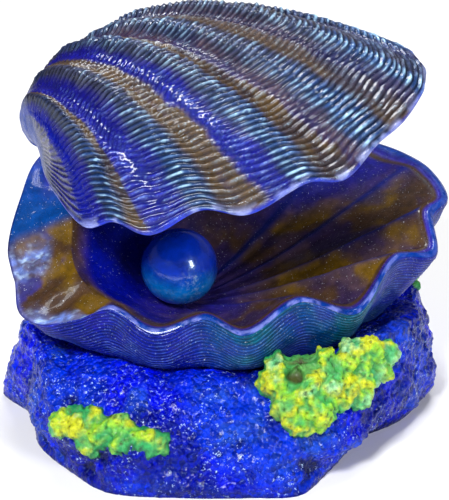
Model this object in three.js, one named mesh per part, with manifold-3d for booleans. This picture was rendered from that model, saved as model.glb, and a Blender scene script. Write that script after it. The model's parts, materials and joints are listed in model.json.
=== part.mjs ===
// A bubbling giant-clam ornament for an aquarium, in millimetres, +Z up, -Y towards the viewer.
// A hollow cast rock carries the lower valve of the clam, a pearl and patches of encrusting coral.
// The upper valve turns on a pin at the back of the shell. Air comes in through a barb at the rear
// of the rock, runs up a hose to a stone behind the pearl, and lifts the upper valve as it escapes.
import * as THREE from "three";
import { mergeVertices } from "three/addons/utils/BufferGeometryUtils.js";
import Module from "manifold-3d";

const wasm = await Module();
wasm.setup();

// ---------------------------------------------------------------- driving dimensions
const GAP = 0.3; // play left between pieces that touch
const CENTRE_SHIFT = [0.5, 2.1]; // puts the middle of the whole outline, seen from above, on the origin
const SEAT_Z = 30; // height of the flat seat on which the lower valve is bonded
const WALL = 4.5; // cast wall of the valves at the rim
const LOOP_STEPS = 3; // facets between two neighbouring points of a rim
const FLOOR = [-15, -11, 37]; // lowest point of the clam's inside, under the pearl
const PEARL = { centre: [-14.8, -12.5, 50.6], radius: 12.7 };
const PEG = { radius: 1.5, from: 32.3, to: 45 }; // dowel that carries the pearl

// Hinge: the pin runs along the back of the shell, from the beak towards the right rear.
const HINGE_TURN = 38; // degrees between the pin and +X, seen from above
const HINGE_RISE = 0.1; // slope of the pin
const BEAK = new THREE.Vector3(-61, 11, 82); // where the upper valve curls to its beak
const PIN_FROM_BEAK = { along: 34, forward: 13, down: 5 };
const PIN_R = 1.5;
const KNUCKLE_R = 4;
const LEDGE = { halfLength: 23, front: -7, back: 7.5, top: -9 }; // shelf cast inside the lower valve
const BOSS = { halfLength: 14, front: -8, back: 4, bottom: 10.3 }; // lug cast inside the upper valve
const HINGE_PLATE = 2; // thickness of the plates of the hinge
const LUG = { from: 9, to: 15 }; // the lugs' reach along the pin, either side of the middle
const WASHER = { thick: 0.8, radius: 3.6 };
const SCREW = { along: 18.5, shank: 1.3, head: 2.5, headHeight: 1.6, length: 9 };

// Spiral of the upper valve about the hinge line: each growth ring is a smaller, turned copy of the rim.
const SPIRAL = { turn: 2.5, shrink: 0.75, fold: 3.2, rings: 11 };

// Air: a barb at the rear of the rock, a 4/6 mm hose, and a porous stone hidden behind the pearl.
const AIR_X = -14;
const INLET = { z: 10, innerFace: 52, outerFace: 56, bore: 4.2, spot: 9 };
const HOSE = { outer: 3, inner: 2 };
const PORT = { y: 9, radius: 5 };
const STONE = { radius: 3.6, from: 34.3, to: 46.5 };

// ---------------------------------------------------------------- rims, as closed smooth loops
// Lower rim: lobes and crests alternate along the front, then the back, the beak and the hinge ear.
const LOWER_RIM = [
  [-36, -40, 50], [-22, -47, 45], [-6, -45, 49], [6.5, -48, 45], [24, -40, 52.5],
  [42, -37, 46.5], [55.5, -21, 57.5], [69, -13, 55], [69.5, 3, 61.5], [75, 12, 63],
  [70.5, 29, 66], [61, 44, 66], [46, 54, 67], [22, 59, 73], [-6, 49, 80.5],
  [-34, 30, 82.5], [-61, 11, 79.5], [-67.5, 2, 68], [-71.5, -6, 53.5], [-68.5, -17, 47.5],
  [-66, -30, 43], [-59.5, -36.5, 42.5], [-47, -40.5, 46.5],
];
// Foot of its outer wall on the seat, with how round the wall is there: 0 straight, 1 like a bowl.
const LOWER_FOOT = [
  [-33, -36, 0.7], [-21, -42, 0.8], [-6, -41.5, 0.8], [6, -42.5, 0.8], [22, -37, 0.7],
  [34, -30, 0.4], [42, -18, 0.25], [49, -11, 0.15], [51, -2, 0.15], [54, 7, 0.15],
  [51, 20, 0.3], [45, 31, 0.5], [34, 41, 0.7], [16, 46, 0.8], [-7, 41, 0.8],
  [-29, 31, 0.7], [-48, 16, 0.4], [-53, 6, 0.2], [-54, -3, 0.1], [-53, -12, 0.1],
  [-49, -21, 0.1], [-44, -28, 0.3], [-39, -33, 0.5],
];
// Crease where the inside of the lower valve drops away: near the rim, but far inside it at the ear.
const LOWER_CREASE = [
  [-33, -35, 48.5], [-21, -42, 45.5], [-6, -40.5, 49.5], [6, -43, 45.5], [22.5, -36, 53],
  [40.5, -31.5, 47.5], [54, -17.5, 58], [65.5, -10, 57], [64.5, 2, 64], [70, 11.5, 64.5],
  [63.5, 28.5, 67], [54, 38.5, 65], [43, 49.5, 66], [20, 54.5, 72], [-5, 44.5, 80.5],
  [-32, 26, 82], [-53, 9, 76], [-52, 1, 70], [-50, -6, 64.5], [-50, -14, 58],
  [-48, -22, 54.5], [-44, -28, 52], [-38, -32.5, 50],
];
// Upper rim as displayed, open: ribs and teeth alternate along the front from the near left corner.
const UPPER_RIM = [
  [-43, -36, 77], [-34, -42, 82], [-23, -47, 80], [-7, -44, 87], [7, -46, 86.5],
  [26, -37, 93], [37, -33, 92], [48, -20, 98], [57, -9, 101], [64, 4, 106],
  [65, 13, 109], [61, 23, 111], [51, 38, 109.5], [36, 49, 106], [14, 56, 101],
  [-12, 48, 95], [-38, 30, 88], [-58, 12, 84], [-59, -3, 82], [-53, -20, 79.5],
];
const LAST_RIB = 14; // ribs fade out beyond this point of the upper rim

// The rock: its outline on the ground, at its widest, and the edge of its top, point for point.
const ROCK_FOOT = [
  [-76, -9], [-65, -24], [-61, -42], [-49, -58], [-37, -69], [-14, -72], [8, -72], [24, -70.5],
  [34, -57], [45, -43], [55, -33], [65, -18], [70.5, 6], [68, 28], [52, 47], [24, 59],
  [-10, 60], [-42, 49], [-66, 23],
];
const ROCK_BELLY = [
  [-72, -12], [-65, -27], [-61, -43], [-50, -58], [-37, -67], [-14, -68.5], [8, -68.5],
  [25, -67], [36, -60], [48, -49], [58, -38], [66, -24], [71, -2], [69, 25], [53, 46],
  [24, 58], [-10, 59], [-42, 48], [-65, 22],
];
const ROCK_TOP = [
  [-65, -12, 29.7], [-61, -24, 29.7], [-57, -35, 29], [-48, -43, 28.5], [-34, -46.5, 29],
  [-14, -48.5, 29.7], [6, -49, 29.7], [24, -48, 31], [37, -44, 34], [47, -37, 37],
  [57, -28, 36], [63, -14, 33.5], [64, 5, 31], [61, 24, 29.7], [48, 41, 29.7], [22, 53, 29.7],
  [-9, 54, 29.7], [-38, 43, 29.7], [-59, 20, 29.7],
];
const BELLY = { level: 0.33, z: 10 };
const ROCK_LEVELS = [0, BELLY.level, 0.6, 0.85, 1];
const ROCK_MIDDLE = [0, -7];
const ROCK_TOP_Z = SEAT_Z - GAP;
const ROCK_HOLLOW = { size: 0.86, top: 0.62 };

// Encrusting coral: patches of blunt lumps, as [x, y, z, radius].
const LEFT_CORAL = [
  [-51, -53.5, 16.5, 5], [-45, -55, 16.5, 6], [-38, -57, 16.5, 6.5], [-31, -58, 17, 6.5],
  [-25, -57, 18.5, 6], [-29, -62, 13, 4.5], [-40, -53, 20, 4.5], [-47, -51, 19.5, 4],
  [-33, -54, 20.5, 4.5], [-24, -61, 14, 4.5],
];
const RIGHT_CORAL = [ // a hollow-topped cup, and a ridge that runs from it to the right
  [18, -52, 31, 7], [26, -54, 29, 8], [32, -52, 31, 6.5], [20, -57, 25, 6.5], [29, -58, 24, 6.5],
  [17, -49, 35, 5], [24, -49, 35, 6], [31, -48, 35.5, 5], [23, -60, 20, 5.5], [14, -52, 30, 4.5],
  [37, -46, 32, 6], [41, -43, 35, 6], [46, -41, 34, 6], [51, -38, 32, 5.5], [38, -52, 27, 5.5],
  [44, -47, 28.5, 5.5], [50, -42, 29, 4.5], [42, -51, 24, 4.5],
];
const REAR_CORAL = [[62, 20, 27, 5], [64, 26, 26, 4.5], [63, 14, 28, 4]];

// ---------------------------------------------------------------- small helpers
const vec = (p) => new THREE.Vector3(...p);
const smooth = (t) => t * t * (3 - 2 * t);
const clamp01 = (t) => Math.min(1, Math.max(0, t));

// Points spaced evenly in parameter round a closed centripetal spline.
function loopThrough(points, steps = LOOP_STEPS) {
  const curve = new THREE.CatmullRomCurve3(points.map(vec), true, "centripetal");
  const count = points.length * steps;
  return Array.from({ length: count }, (_, i) => curve.getPoint(i / count));
}

// A closed surface from a start point, rings of equal count, and an end point.
function surfaceFromRings(start, rings, end) {
  const count = rings[0].length;
  const positions = [start, ...rings.flat(), end].flatMap((p) => [p.x, p.y, p.z]);
  const at = (ring, i) => 1 + ring * count + (i % count);
  const index = [];
  const last = rings.length - 1;
  const endPoint = 1 + rings.length * count;
  for (let i = 0; i < count; i++) {
    index.push(0, at(0, i + 1), at(0, i));
    for (let r = 0; r < last; r++) {
      index.push(at(r, i), at(r, i + 1), at(r + 1, i + 1));
      index.push(at(r, i), at(r + 1, i + 1), at(r + 1, i));
    }
    index.push(at(last, i), at(last, i + 1), endPoint);
  }
  const geometry = new THREE.BufferGeometry();
  geometry.setAttribute("position", new THREE.Float32BufferAttribute(positions, 3));
  geometry.setIndex(index);
  return geometry;
}

// ---------------------------------------------------------------- solids, joined and cut
function toSolid(geometry) {
  const bare = geometry.clone();
  bare.deleteAttribute("normal");
  bare.deleteAttribute("uv");
  const merged = mergeVertices(bare, 1e-3);
  const made = new wasm.Manifold(
    new wasm.Mesh({
      numProp: 3,
      vertProperties: new Float32Array(merged.attributes.position.array),
      triVerts: new Uint32Array(merged.index.array),
    }),
  );
  return made;
}

function toGeometry(solid) {
  const mesh = solid.getMesh();
  const positions = new Float32Array(mesh.numVert * 3);
  for (let i = 0; i < mesh.numVert; i++) {
    const from = i * mesh.numProp;
    positions.set(mesh.vertProperties.subarray(from, from + 3), i * 3);
  }
  const geometry = new THREE.BufferGeometry();
  geometry.setAttribute("position", new THREE.BufferAttribute(positions, 3));
  geometry.setIndex(new THREE.BufferAttribute(new Uint32Array(mesh.triVerts), 1));
  return geometry;
}

// The largest of the bodies that a cut leaves, so that no loose sliver stays in a piece.
function mainBody(solid) {
  return solid.decompose().sort((a, b) => b.volume() - a.volume())[0];
}

// Box from its lowest to its highest corner, moved into place by an optional matrix.
function boxBetween(low, high, matrix) {
  const size = high.map((h, i) => h - low[i]);
  const geometry = new THREE.BoxGeometry(...size);
  geometry.translate(...low.map((l, i) => l + size[i] / 2));
  return matrix ? geometry.applyMatrix4(matrix) : geometry;
}

function cylinderX(radius, from, to, sides = 24) {
  const geometry = new THREE.CylinderGeometry(radius, radius, to - from, sides);
  return geometry.rotateZ(-Math.PI / 2).translate((from + to) / 2, 0, 0);
}

function cylinderZ(radius, from, to, sides = 20) {
  const geometry = new THREE.CylinderGeometry(radius, radius, to - from, sides);
  return geometry.rotateX(Math.PI / 2).translate(0, 0, (from + to) / 2);
}

// ---------------------------------------------------------------- the hinge's own frame
// x along the pin, y away from the mouth, z up.
const turn = THREE.MathUtils.degToRad(HINGE_TURN);
const alongPin = new THREE.Vector3(Math.cos(turn), Math.sin(turn), HINGE_RISE).normalize();
const forward = new THREE.Vector3(Math.sin(turn), -Math.cos(turn), 0);
const upFromPin = new THREE.Vector3().crossVectors(forward, alongPin).normalize();
const pinCentre = BEAK.clone()
  .addScaledVector(alongPin, PIN_FROM_BEAK.along)
  .addScaledVector(forward, PIN_FROM_BEAK.forward)
  .addScaledVector(upFromPin, -PIN_FROM_BEAK.down);
const hingeMatrix = new THREE.Matrix4()
  .makeBasis(alongPin, forward.clone().negate(), upFromPin)
  .setPosition(pinCentre);
// ---------------------------------------------------------------- lower valve
const lowerRim = loopThrough(LOWER_RIM);
const lowerCrease = loopThrough(LOWER_CREASE);
const floorPoint = vec(FLOOR);
const lowerFoot = loopThrough(LOWER_FOOT);

// Outer wall from the foot (level 0) to the rim (level 1).
function lowerWall(level, grow = 0) {
  const seat = SEAT_Z - grow;
  const quarter = (level * Math.PI) / 2;
  return lowerRim.map((rim, i) => {
    const foot = lowerFoot[i];
    const round = foot.z;
    const out = new THREE.Vector3(rim.x - floorPoint.x, rim.y - floorPoint.y, 0).normalize();
    const swell = 0.12 * round * (rim.z - SEAT_Z) * Math.sin(Math.PI * level) + grow;
    const side = level + (Math.sin(quarter) - level) * round;
    const rise = level + (1 - Math.cos(quarter) - level) * round;
    return new THREE.Vector3(
      foot.x + (rim.x - foot.x) * side + out.x * swell,
      foot.y + (rim.y - foot.y) * side + out.y * swell,
      seat + (rim.z - seat) * rise,
    );
  });
}

// Inside from the crease (depth 0) to the lowest point (depth 1): a bowl with fading folds.
function lowerInside(depth) {
  return lowerCrease.map((edge) => {
    const drop = smooth(depth) * 0.35 + (1 - (1 - depth) ** 2) * 0.65;
    return new THREE.Vector3(
      edge.x + (floorPoint.x - edge.x) * depth,
      edge.y + (floorPoint.y - edge.y) * depth,
      edge.z + (floorPoint.z - edge.z) * drop,
    );
  });
}

const WALL_LEVELS = [0, 0.22, 0.42, 0.62, 0.82, 1];
const INSIDE_DEPTHS = [0, 0.12, 0.28, 0.46, 0.66, 0.84];

function lowerOuterSolid(grow = 0, capLift = 40) {
  const rings = WALL_LEVELS.map((level) => lowerWall(level, grow));
  const start = new THREE.Vector3(floorPoint.x, floorPoint.y, SEAT_Z - grow);
  const top = new THREE.Vector3(floorPoint.x, floorPoint.y, SEAT_Z + capLift);
  return toSolid(surfaceFromRings(start, rings, top));
}

function lowerShell() {
  const start = new THREE.Vector3(floorPoint.x, floorPoint.y, SEAT_Z);
  const rings = [
    ...WALL_LEVELS.map((level) => lowerWall(level)),
    ...INSIDE_DEPTHS.map(lowerInside),
  ];
  return toSolid(surfaceFromRings(start, rings, floorPoint));
}

const xCylinder = (radius, from, to, sides) => toSolid(cylinderX(radius, from, to, sides));
const zCylinder = (radius, from, to, x, y, sides) =>
  toSolid(cylinderZ(radius, from, to, sides).translate(x, y, 0));

// Shelf for the hinge, in a pocket cut into the back of the bowl, with holes for its screws.
function lowerValve() {
  const { halfLength, front, back, top } = LEDGE;
  const shelf = toSolid(
    boxBetween([-halfLength, front, -60], [halfLength, back + 4, top], hingeMatrix),
  ).intersect(lowerOuterSolid(-1.5, 70));
  const pocket = boxBetween([-halfLength, -30, top], [halfLength, back, 30], hingeMatrix);
  let solid = lowerShell().add(shelf).subtract(toSolid(pocket));
  solid = solid.subtract(zCylinder(PORT.radius, 20, 80, AIR_X, PORT.y, 24));
  const [pearlX, pearlY] = PEARL.centre;
  solid = solid.subtract(zCylinder(PEG.radius + GAP, SEAT_Z + 2, 60, pearlX, pearlY, 12));
  for (const x of [-SCREW.along, SCREW.along]) {
    const hole = cylinderZ(SCREW.shank + GAP, top - SCREW.length, 20, 12).translate(x, 0, 0);
    solid = solid.subtract(toSolid(hole.applyMatrix4(hingeMatrix)));
  }
  return toGeometry(mainBody(solid));
}

// ---------------------------------------------------------------- upper valve
const upperRim = loopThrough(UPPER_RIM);
const ribPhase = upperRim.map((_, i) => i / LOOP_STEPS);

function foldStrength(phase) {
  const fadeIn = smooth(clamp01(phase / 1.2));
  const fadeOut = 1 - smooth(clamp01((phase - LAST_RIB + 2) / 2));
  return fadeIn * fadeOut;
}

// One growth ring: age 0 is the rim, age 1 is the beak.
function upperRing(age) {
  const psi = SPIRAL.turn * age;
  const size = Math.exp(-SPIRAL.shrink * psi);
  const spin = new THREE.Matrix4().makeRotationAxis(alongPin, -psi);
  const lift = SPIRAL.fold * Math.sin(Math.PI * Math.min(1, age * 1.25) ** 0.8) * size ** 0.3;
  return upperRim.map((rim, i) => {
    const arm = rim.clone().sub(BEAK).applyMatrix4(spin).multiplyScalar(size);
    const out = arm.clone().addScaledVector(alongPin, -arm.dot(alongPin)).normalize();
    const fold = -Math.cos(Math.PI * ribPhase[i]) * foldStrength(ribPhase[i]);
    return BEAK.clone().add(arm).addScaledVector(out, lift * fold);
  });
}

const RING_AGES = Array.from(
  { length: SPIRAL.rings },
  (_, i) => i / (SPIRAL.rings - 1),
);
const upperMiddle = new THREE.Vector3(4, 4, 92); // middle of the upper rim

function upperCap() {
  const ring = upperRing(1);
  const middle = new THREE.Vector3();
  ring.forEach((p) => middle.addScaledVector(p, 1 / ring.length));
  return middle;
}

// The inside is the outside drawn in towards the middle of the rim by the wall.
const inward = (p) => {
  const away = p.clone().sub(upperMiddle);
  const reach = away.length();
  return upperMiddle.clone().addScaledVector(away, Math.max(0.5, 1 - WALL / reach));
};

function upperShell() {
  const outer = RING_AGES.map(upperRing);
  const inner = outer.map((ring) => ring.map(inward));
  const rings = [...inner.reverse(), ...outer];
  return toSolid(surfaceFromRings(inward(upperCap()), rings, upperCap()));
}

function upperOuterSolid() {
  const rings = RING_AGES.map(upperRing);
  return toSolid(surfaceFromRings(upperMiddle, rings, upperCap()));
}

function upperValve() {
  const { halfLength, front, back, bottom } = BOSS;
  const boss = toSolid(
    boxBetween([-halfLength, front, bottom], [halfLength, back, 60], hingeMatrix),
  ).intersect(upperOuterSolid());
  return toGeometry(mainBody(upperShell().add(boss)));
}

// ---------------------------------------------------------------- rock
const rockLoops = [
  loopThrough(ROCK_FOOT.map(([x, y]) => [x, y, 0])),
  loopThrough(ROCK_BELLY.map(([x, y]) => [x, y, BELLY.z])),
  loopThrough(ROCK_TOP),
];

// Outline of the rock at a level between its foot (0) and the edge of its top (1).
function rockRing(level, size = 1, grow = 0) {
  const [foot, belly, top] = rockLoops;
  const [cx, cy] = ROCK_MIDDLE;
  const low = level <= BELLY.level;
  const part = low ? level / BELLY.level : (level - BELLY.level) / (1 - BELLY.level);
  return foot.map((p, i) => {
    const q = low
      ? p.clone().lerp(belly[i], Math.max(0, part))
      : belly[i].clone().lerp(top[i], part ** 1.6);
    const z = low ? part * BELLY.z : BELLY.z + (top[i].z - BELLY.z) * part;
    const scale = size * (1 + grow / Math.hypot(q.x - cx, q.y - cy));
    return new THREE.Vector3(
      cx + (q.x - cx) * scale,
      cy + (q.y - cy) * scale,
      z + (level === 1 ? grow : 0),
    );
  });
}

function rockSolid(levels, size = 1, grow = 0) {
  const rings = levels.map((level) => rockRing(level, size, grow));
  const [cx, cy] = ROCK_MIDDLE;
  const low = new THREE.Vector3(cx, cy, rings[0][0].z);
  const high = new THREE.Vector3(cx, cy, rings[rings.length - 1][0].z);
  return toSolid(surfaceFromRings(low, rings, high));
}

// A cast rock, hollow underneath, with spot faces and a hole for the inlet and one for the hose.
function rockBase() {
  const hollow = rockSolid([-0.1, 0, BELLY.level, ROCK_HOLLOW.top], ROCK_HOLLOW.size);
  let solid = rockSolid(ROCK_LEVELS).subtract(hollow).subtract(lowerOuterSolid(GAP));
  const { z, innerFace, outerFace, bore, spot } = INLET;
  const yCylinder = (radius, from, to) =>
    toSolid(
      cylinderZ(radius, -to, -from, 24).rotateX(Math.PI / 2).translate(AIR_X, 0, z),
    );
  solid = solid
    .subtract(yCylinder(spot, outerFace, 90))
    .subtract(yCylinder(spot, 30, innerFace))
    .subtract(yCylinder(bore, 30, 90));
  solid = solid.subtract(zCylinder(PORT.radius, 10, 40, AIR_X, PORT.y, 24));
  return toGeometry(mainBody(solid));
}

// ---------------------------------------------------------------- coral
function coral(lumps) {
  let solid = null;
  for (const [x, y, z, radius] of lumps) {
    const lump = toSolid(new THREE.IcosahedronGeometry(radius, 1).translate(x, y, z));
    solid = solid ? solid.add(lump) : lump;
  }
  solid = solid
    .subtract(rockSolid([-0.3, ...ROCK_LEVELS], 1, GAP + 0.1))
    .subtract(lowerOuterSolid(GAP + 0.1));
  return toGeometry(mainBody(solid));
}

// ---------------------------------------------------------------- pearl and its dowel
function pearl() {
  const { centre, radius } = PEARL;
  const ball = toSolid(new THREE.IcosahedronGeometry(radius, 4).translate(...centre));
  return toGeometry(
    ball.subtract(zCylinder(PEG.radius + GAP, 20, PEG.to + GAP, centre[0], centre[1], 12)),
  );
}

const pearlPeg = () =>
  cylinderZ(PEG.radius, PEG.from, PEG.to, 12).translate(PEARL.centre[0], PEARL.centre[1], 0);

// ---------------------------------------------------------------- hinge, in the hinge's own frame
const plateBottom = LEDGE.top + GAP;
const plateTop = plateBottom + HINGE_PLATE;
const BORE_R = PIN_R + GAP;

// Screwed to the shelf: a plate with two lugs that hold the pin.
function hingeBase() {
  let solid = toSolid(boxBetween([-22, -6, plateBottom], [22, 6, plateTop]));
  for (const side of [-1, 1]) {
    const [from, to] = side < 0 ? [-LUG.to, -LUG.from] : [LUG.from, LUG.to];
    solid = solid
      .add(toSolid(boxBetween([from, -KNUCKLE_R, plateTop - 1], [to, KNUCKLE_R, 0])))
      .add(xCylinder(KNUCKLE_R, from, to));
    const hole = cylinderZ(SCREW.shank + GAP, -20, 0, 12).translate(side * SCREW.along, 0, 0);
    solid = solid.subtract(toSolid(hole));
  }
  return toGeometry(solid.subtract(xCylinder(BORE_R, -30, 30, 20)));
}

// Bonded under the upper valve's boss: a plate and web on a knuckle that turns about the pin.
function hingeArm() {
  const half = LUG.from - 2 * GAP - WASHER.thick;
  const top = BOSS.bottom - GAP;
  const plate = boxBetween(
    [-BOSS.halfLength + 0.5, BOSS.front, top - HINGE_PLATE],
    [BOSS.halfLength - 0.5, BOSS.back, top],
  );
  const web = boxBetween([-half, -2.5, 0], [half, 2.5, top - 1]);
  const solid = xCylinder(KNUCKLE_R, -half, half)
    .add(toSolid(plate))
    .add(toSolid(web))
    .subtract(xCylinder(BORE_R, -30, 30, 20));
  return toGeometry(solid);
}

// Headed pin, with a groove for its clip.
function hingePin() {
  const head = LUG.to + GAP;
  const clip = LUG.to + GAP;
  const solid = xCylinder(PIN_R, -head - 0.5, clip + 2.4, 20)
    .add(xCylinder(2.8, -head - 1.6, -head, 20))
    .subtract(xCylinder(2.5, clip, clip + 1.4, 20).subtract(xCylinder(1, clip - 1, clip + 3, 20)));
  return toGeometry(solid);
}

const ring = (outer, inner, from, to, sides = 24) =>
  toGeometry(xCylinder(outer, from, to, sides).subtract(xCylinder(inner, from - 1, to + 1, sides)));

// Spring clip in the pin's groove.
const pinClip = () => {
  const from = LUG.to + 2 * GAP;
  const body = xCylinder(3, from, from + 0.8, 20).subtract(xCylinder(1 + GAP, 0, 30, 20));
  const mouth = toSolid(boxBetween([0, -0.9, -5], [30, 0.9, 0]));
  return toGeometry(body.subtract(mouth));
};

const washer = (side) => {
  const near = LUG.from - GAP - WASHER.thick;
  const [from, to] = side < 0 ? [-near - WASHER.thick, -near] : [near, near + WASHER.thick];
  return ring(WASHER.radius, BORE_R, from, to);
};

// Pan-head screw with a cross slot.
function screw() {
  const under = plateTop + GAP;
  let solid = toSolid(cylinderZ(SCREW.head, under, under + SCREW.headHeight, 18)).add(
    toSolid(cylinderZ(SCREW.shank, LEDGE.top - SCREW.length + 1, under + 0.5, 12)),
  );
  for (const size of [[1.6, 0.3], [0.3, 1.6]]) {
    solid = solid.subtract(
      toSolid(
        boxBetween(
          [-size[0], -size[1], under + SCREW.headHeight - 0.7],
          [size[0], size[1], under + 4],
        ),
      ),
    );
  }
  return toGeometry(solid);
}

// ---------------------------------------------------------------- air line, axis of the inlet along +Y
function alongY(points) {
  const profile = points.map(([r, y]) => new THREE.Vector2(r, y));
  return new THREE.LatheGeometry(profile, 16).translate(AIR_X, 0, INLET.z);
}

// Barbed fitting through the rear wall: outer barb, flange, shank and inner barb, bored through.
function inletFitting() {
  const face = INLET.outerFace + 1 + 2 * GAP; // the seal lies between the flange and the rock
  const outside = toSolid(
    alongY([
      [0, 38], [1.4, 38], [1.7, 39.5], [1.5, 41], [1.7, 42.5], [1.5, 44], [1.5, 46], [3.7, 46],
      [3.7, face], [6.5, face], [6.5, face + 2.5], [3, face + 2.5], [2, face + 4],
      [2.4, face + 5], [2, face + 7], [2.4, face + 8], [1.7, face + 10.5], [0, face + 10.5],
    ]),
  );
  const bore = toSolid(alongY([[0, 30], [0.9, 30], [0.9, 80], [0, 80]]));
  return toGeometry(outside.subtract(bore));
}

const inletSeal = () => {
  const from = INLET.outerFace + GAP;
  const outer = toSolid(alongY([[0, from], [6.2, from], [6.2, from + 1], [0, from + 1]]));
  return toGeometry(outer.subtract(toSolid(alongY([[0, 30], [4, 30], [4, 80], [0, 80]]))));
};

// Hexagonal nut on the inside of the rear wall.
function inletNut() {
  const to = INLET.innerFace - GAP;
  const hex = new THREE.CylinderGeometry(6.6, 6.6, 3.5, 6).translate(AIR_X, to - 1.75, INLET.z);
  return toGeometry(
    toSolid(hex).subtract(toSolid(alongY([[0, 30], [4, 30], [4, 80], [0, 80]]))),
  );
}

const hosePath = () =>
  new THREE.CatmullRomCurve3(
    [[45.6, INLET.z], [38, INLET.z], [24, INLET.z], [13, 12.5], [PORT.y, 20], [PORT.y, 29.4]].map(
      ([y, z]) => new THREE.Vector3(AIR_X, y, z),
    ),
  );

function circle(radius, sides) {
  const path = new THREE.Path();
  for (let i = 0; i <= sides; i++) {
    const a = (i / sides) * 2 * Math.PI;
    path[i ? "lineTo" : "moveTo"](radius * Math.cos(a), radius * Math.sin(a));
  }
  return path;
}

function airHose() {
  const section = new THREE.Shape(circle(HOSE.outer, 12).getPoints());
  section.holes.push(circle(HOSE.inner, 12));
  const geometry = new THREE.ExtrudeGeometry(section, {
    steps: 12,
    extrudePath: hosePath(),
    bevelEnabled: false,
  });
  return toGeometry(toSolid(geometry));
}

// Saddle bonded under the top of the rock, holding the hose.
function hoseSaddle() {
  const ceiling = ROCK_HOLLOW.top * ROCK_TOP_Z - GAP;
  const block = toSolid(
    boxBetween([AIR_X - 5, 26, INLET.z - 4.5], [AIR_X + 5, 32, ceiling]),
  );
  const hole = toSolid(alongY([[0, 20], [3.4, 20], [3.4, 40], [0, 40]]));
  return toGeometry(block.subtract(hole));
}

const lathe = (points, sides = 16) =>
  new THREE.LatheGeometry(points.map(([r, z]) => new THREE.Vector2(r, z)), sides)
    .rotateX(Math.PI / 2)
    .translate(AIR_X, PORT.y, 0);

// Plastic stem of the stone: a cap in the port and a barb down into the hose.
function stoneStem() {
  const top = STONE.from - GAP;
  const body = toSolid(
    lathe([[0, 22], [1.4, 22], [1.7, 23.5], [1.5, 25], [1.7, 26.5], [1.5, 28], [1.6, 30],
      [STONE.radius, 30.5], [STONE.radius, top], [0, top]]),
  );
  return toGeometry(body.subtract(toSolid(lathe([[0, 10], [0.8, 10], [0.8, 50], [0, 50]]))));
}

const airStone = () =>
  lathe([
    [0, STONE.from], [STONE.radius, STONE.from], [STONE.radius, STONE.to - 1.5],
    [STONE.radius - 1.4, STONE.to], [0, STONE.to],
  ]);

// Soft sleeve that holds the stone in the port.
function stoneSleeve() {
  const outer = PORT.radius - GAP;
  const inner = STONE.radius + GAP;
  const body = toSolid(lathe([[0, 31], [outer, 31], [outer, 43], [0, 43]]));
  return toGeometry(body.subtract(toSolid(lathe([[0, 20], [inner, 20], [inner, 50], [0, 50]]))));
}

// ---------------------------------------------------------------- assembly
const SHELL = { color: 0x2b3a8c, roughness: 0.28, metalness: 0 };
const ROCK = { color: 0x1b25a8, roughness: 0.55, metalness: 0 };
const CORAL = { color: 0xc9d42a, roughness: 0.55, metalness: 0 };
const PEARL_LOOK = { color: 0x2f57b5, roughness: 0.2, metalness: 0 };
const BRACKET = { color: 0x17181c, roughness: 0.5, metalness: 0 };
const STEEL = { color: 0xa9adb1, roughness: 0.3, metalness: 1 };
const CLEAR_PLASTIC = { color: 0xdfe6e8, roughness: 0.3, metalness: 0 };
const RUBBER = { color: 0x1c1c1e, roughness: 0.8, metalness: 0 };
const STONE_LOOK = { color: 0x8fa3b5, roughness: 0.95, metalness: 0 };

const model = new THREE.Group();
function addPiece(name, geometry, look, matrix) {
  const mesh = new THREE.Mesh(geometry, new THREE.MeshStandardMaterial(look));
  mesh.name = name;
  if (matrix) mesh.applyMatrix4(matrix);
  model.add(mesh);
}

addPiece("rock_base", rockBase(), ROCK);
addPiece("lower_valve", lowerValve(), SHELL);
addPiece("upper_valve", upperValve(), SHELL);
addPiece("pearl", pearl(), PEARL_LOOK);
addPiece("pearl_peg", pearlPeg(), STEEL);
addPiece("coral_left", coral(LEFT_CORAL), CORAL);
addPiece("coral_right", coral(RIGHT_CORAL), CORAL);
addPiece("coral_rear", coral(REAR_CORAL), CORAL);
addPiece("hinge_base", hingeBase(), BRACKET, hingeMatrix);
addPiece("hinge_arm", hingeArm(), BRACKET, hingeMatrix);
addPiece("hinge_pin", hingePin(), STEEL, hingeMatrix);
addPiece("pin_clip", pinClip(), STEEL, hingeMatrix);
for (const [side, place] of [[-1, "left"], [1, "right"]]) {
  addPiece(`hinge_washer_${place}`, washer(side), CLEAR_PLASTIC, hingeMatrix);
  const at = hingeMatrix.clone().multiply(
    new THREE.Matrix4().makeTranslation(side * SCREW.along, 0, 0),
  );
  addPiece(`hinge_screw_${place}`, screw(), STEEL, at);
}
addPiece("inlet_fitting", inletFitting(), CLEAR_PLASTIC);
addPiece("inlet_seal", inletSeal(), RUBBER);
addPiece("inlet_nut", inletNut(), CLEAR_PLASTIC);
addPiece("air_hose", airHose(), CLEAR_PLASTIC);
addPiece("hose_saddle", hoseSaddle(), BRACKET);
addPiece("stone_stem", stoneStem(), CLEAR_PLASTIC);
addPiece("air_stone", airStone(), STONE_LOOK);
addPiece("stone_sleeve", stoneSleeve(), RUBBER);
model.position.set(...CENTRE_SHIFT, 0);
export default model;
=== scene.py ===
import json
import math

import bmesh
import bpy
import numpy as np
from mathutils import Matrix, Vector
from mathutils.bvhtree import BVHTree


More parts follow.
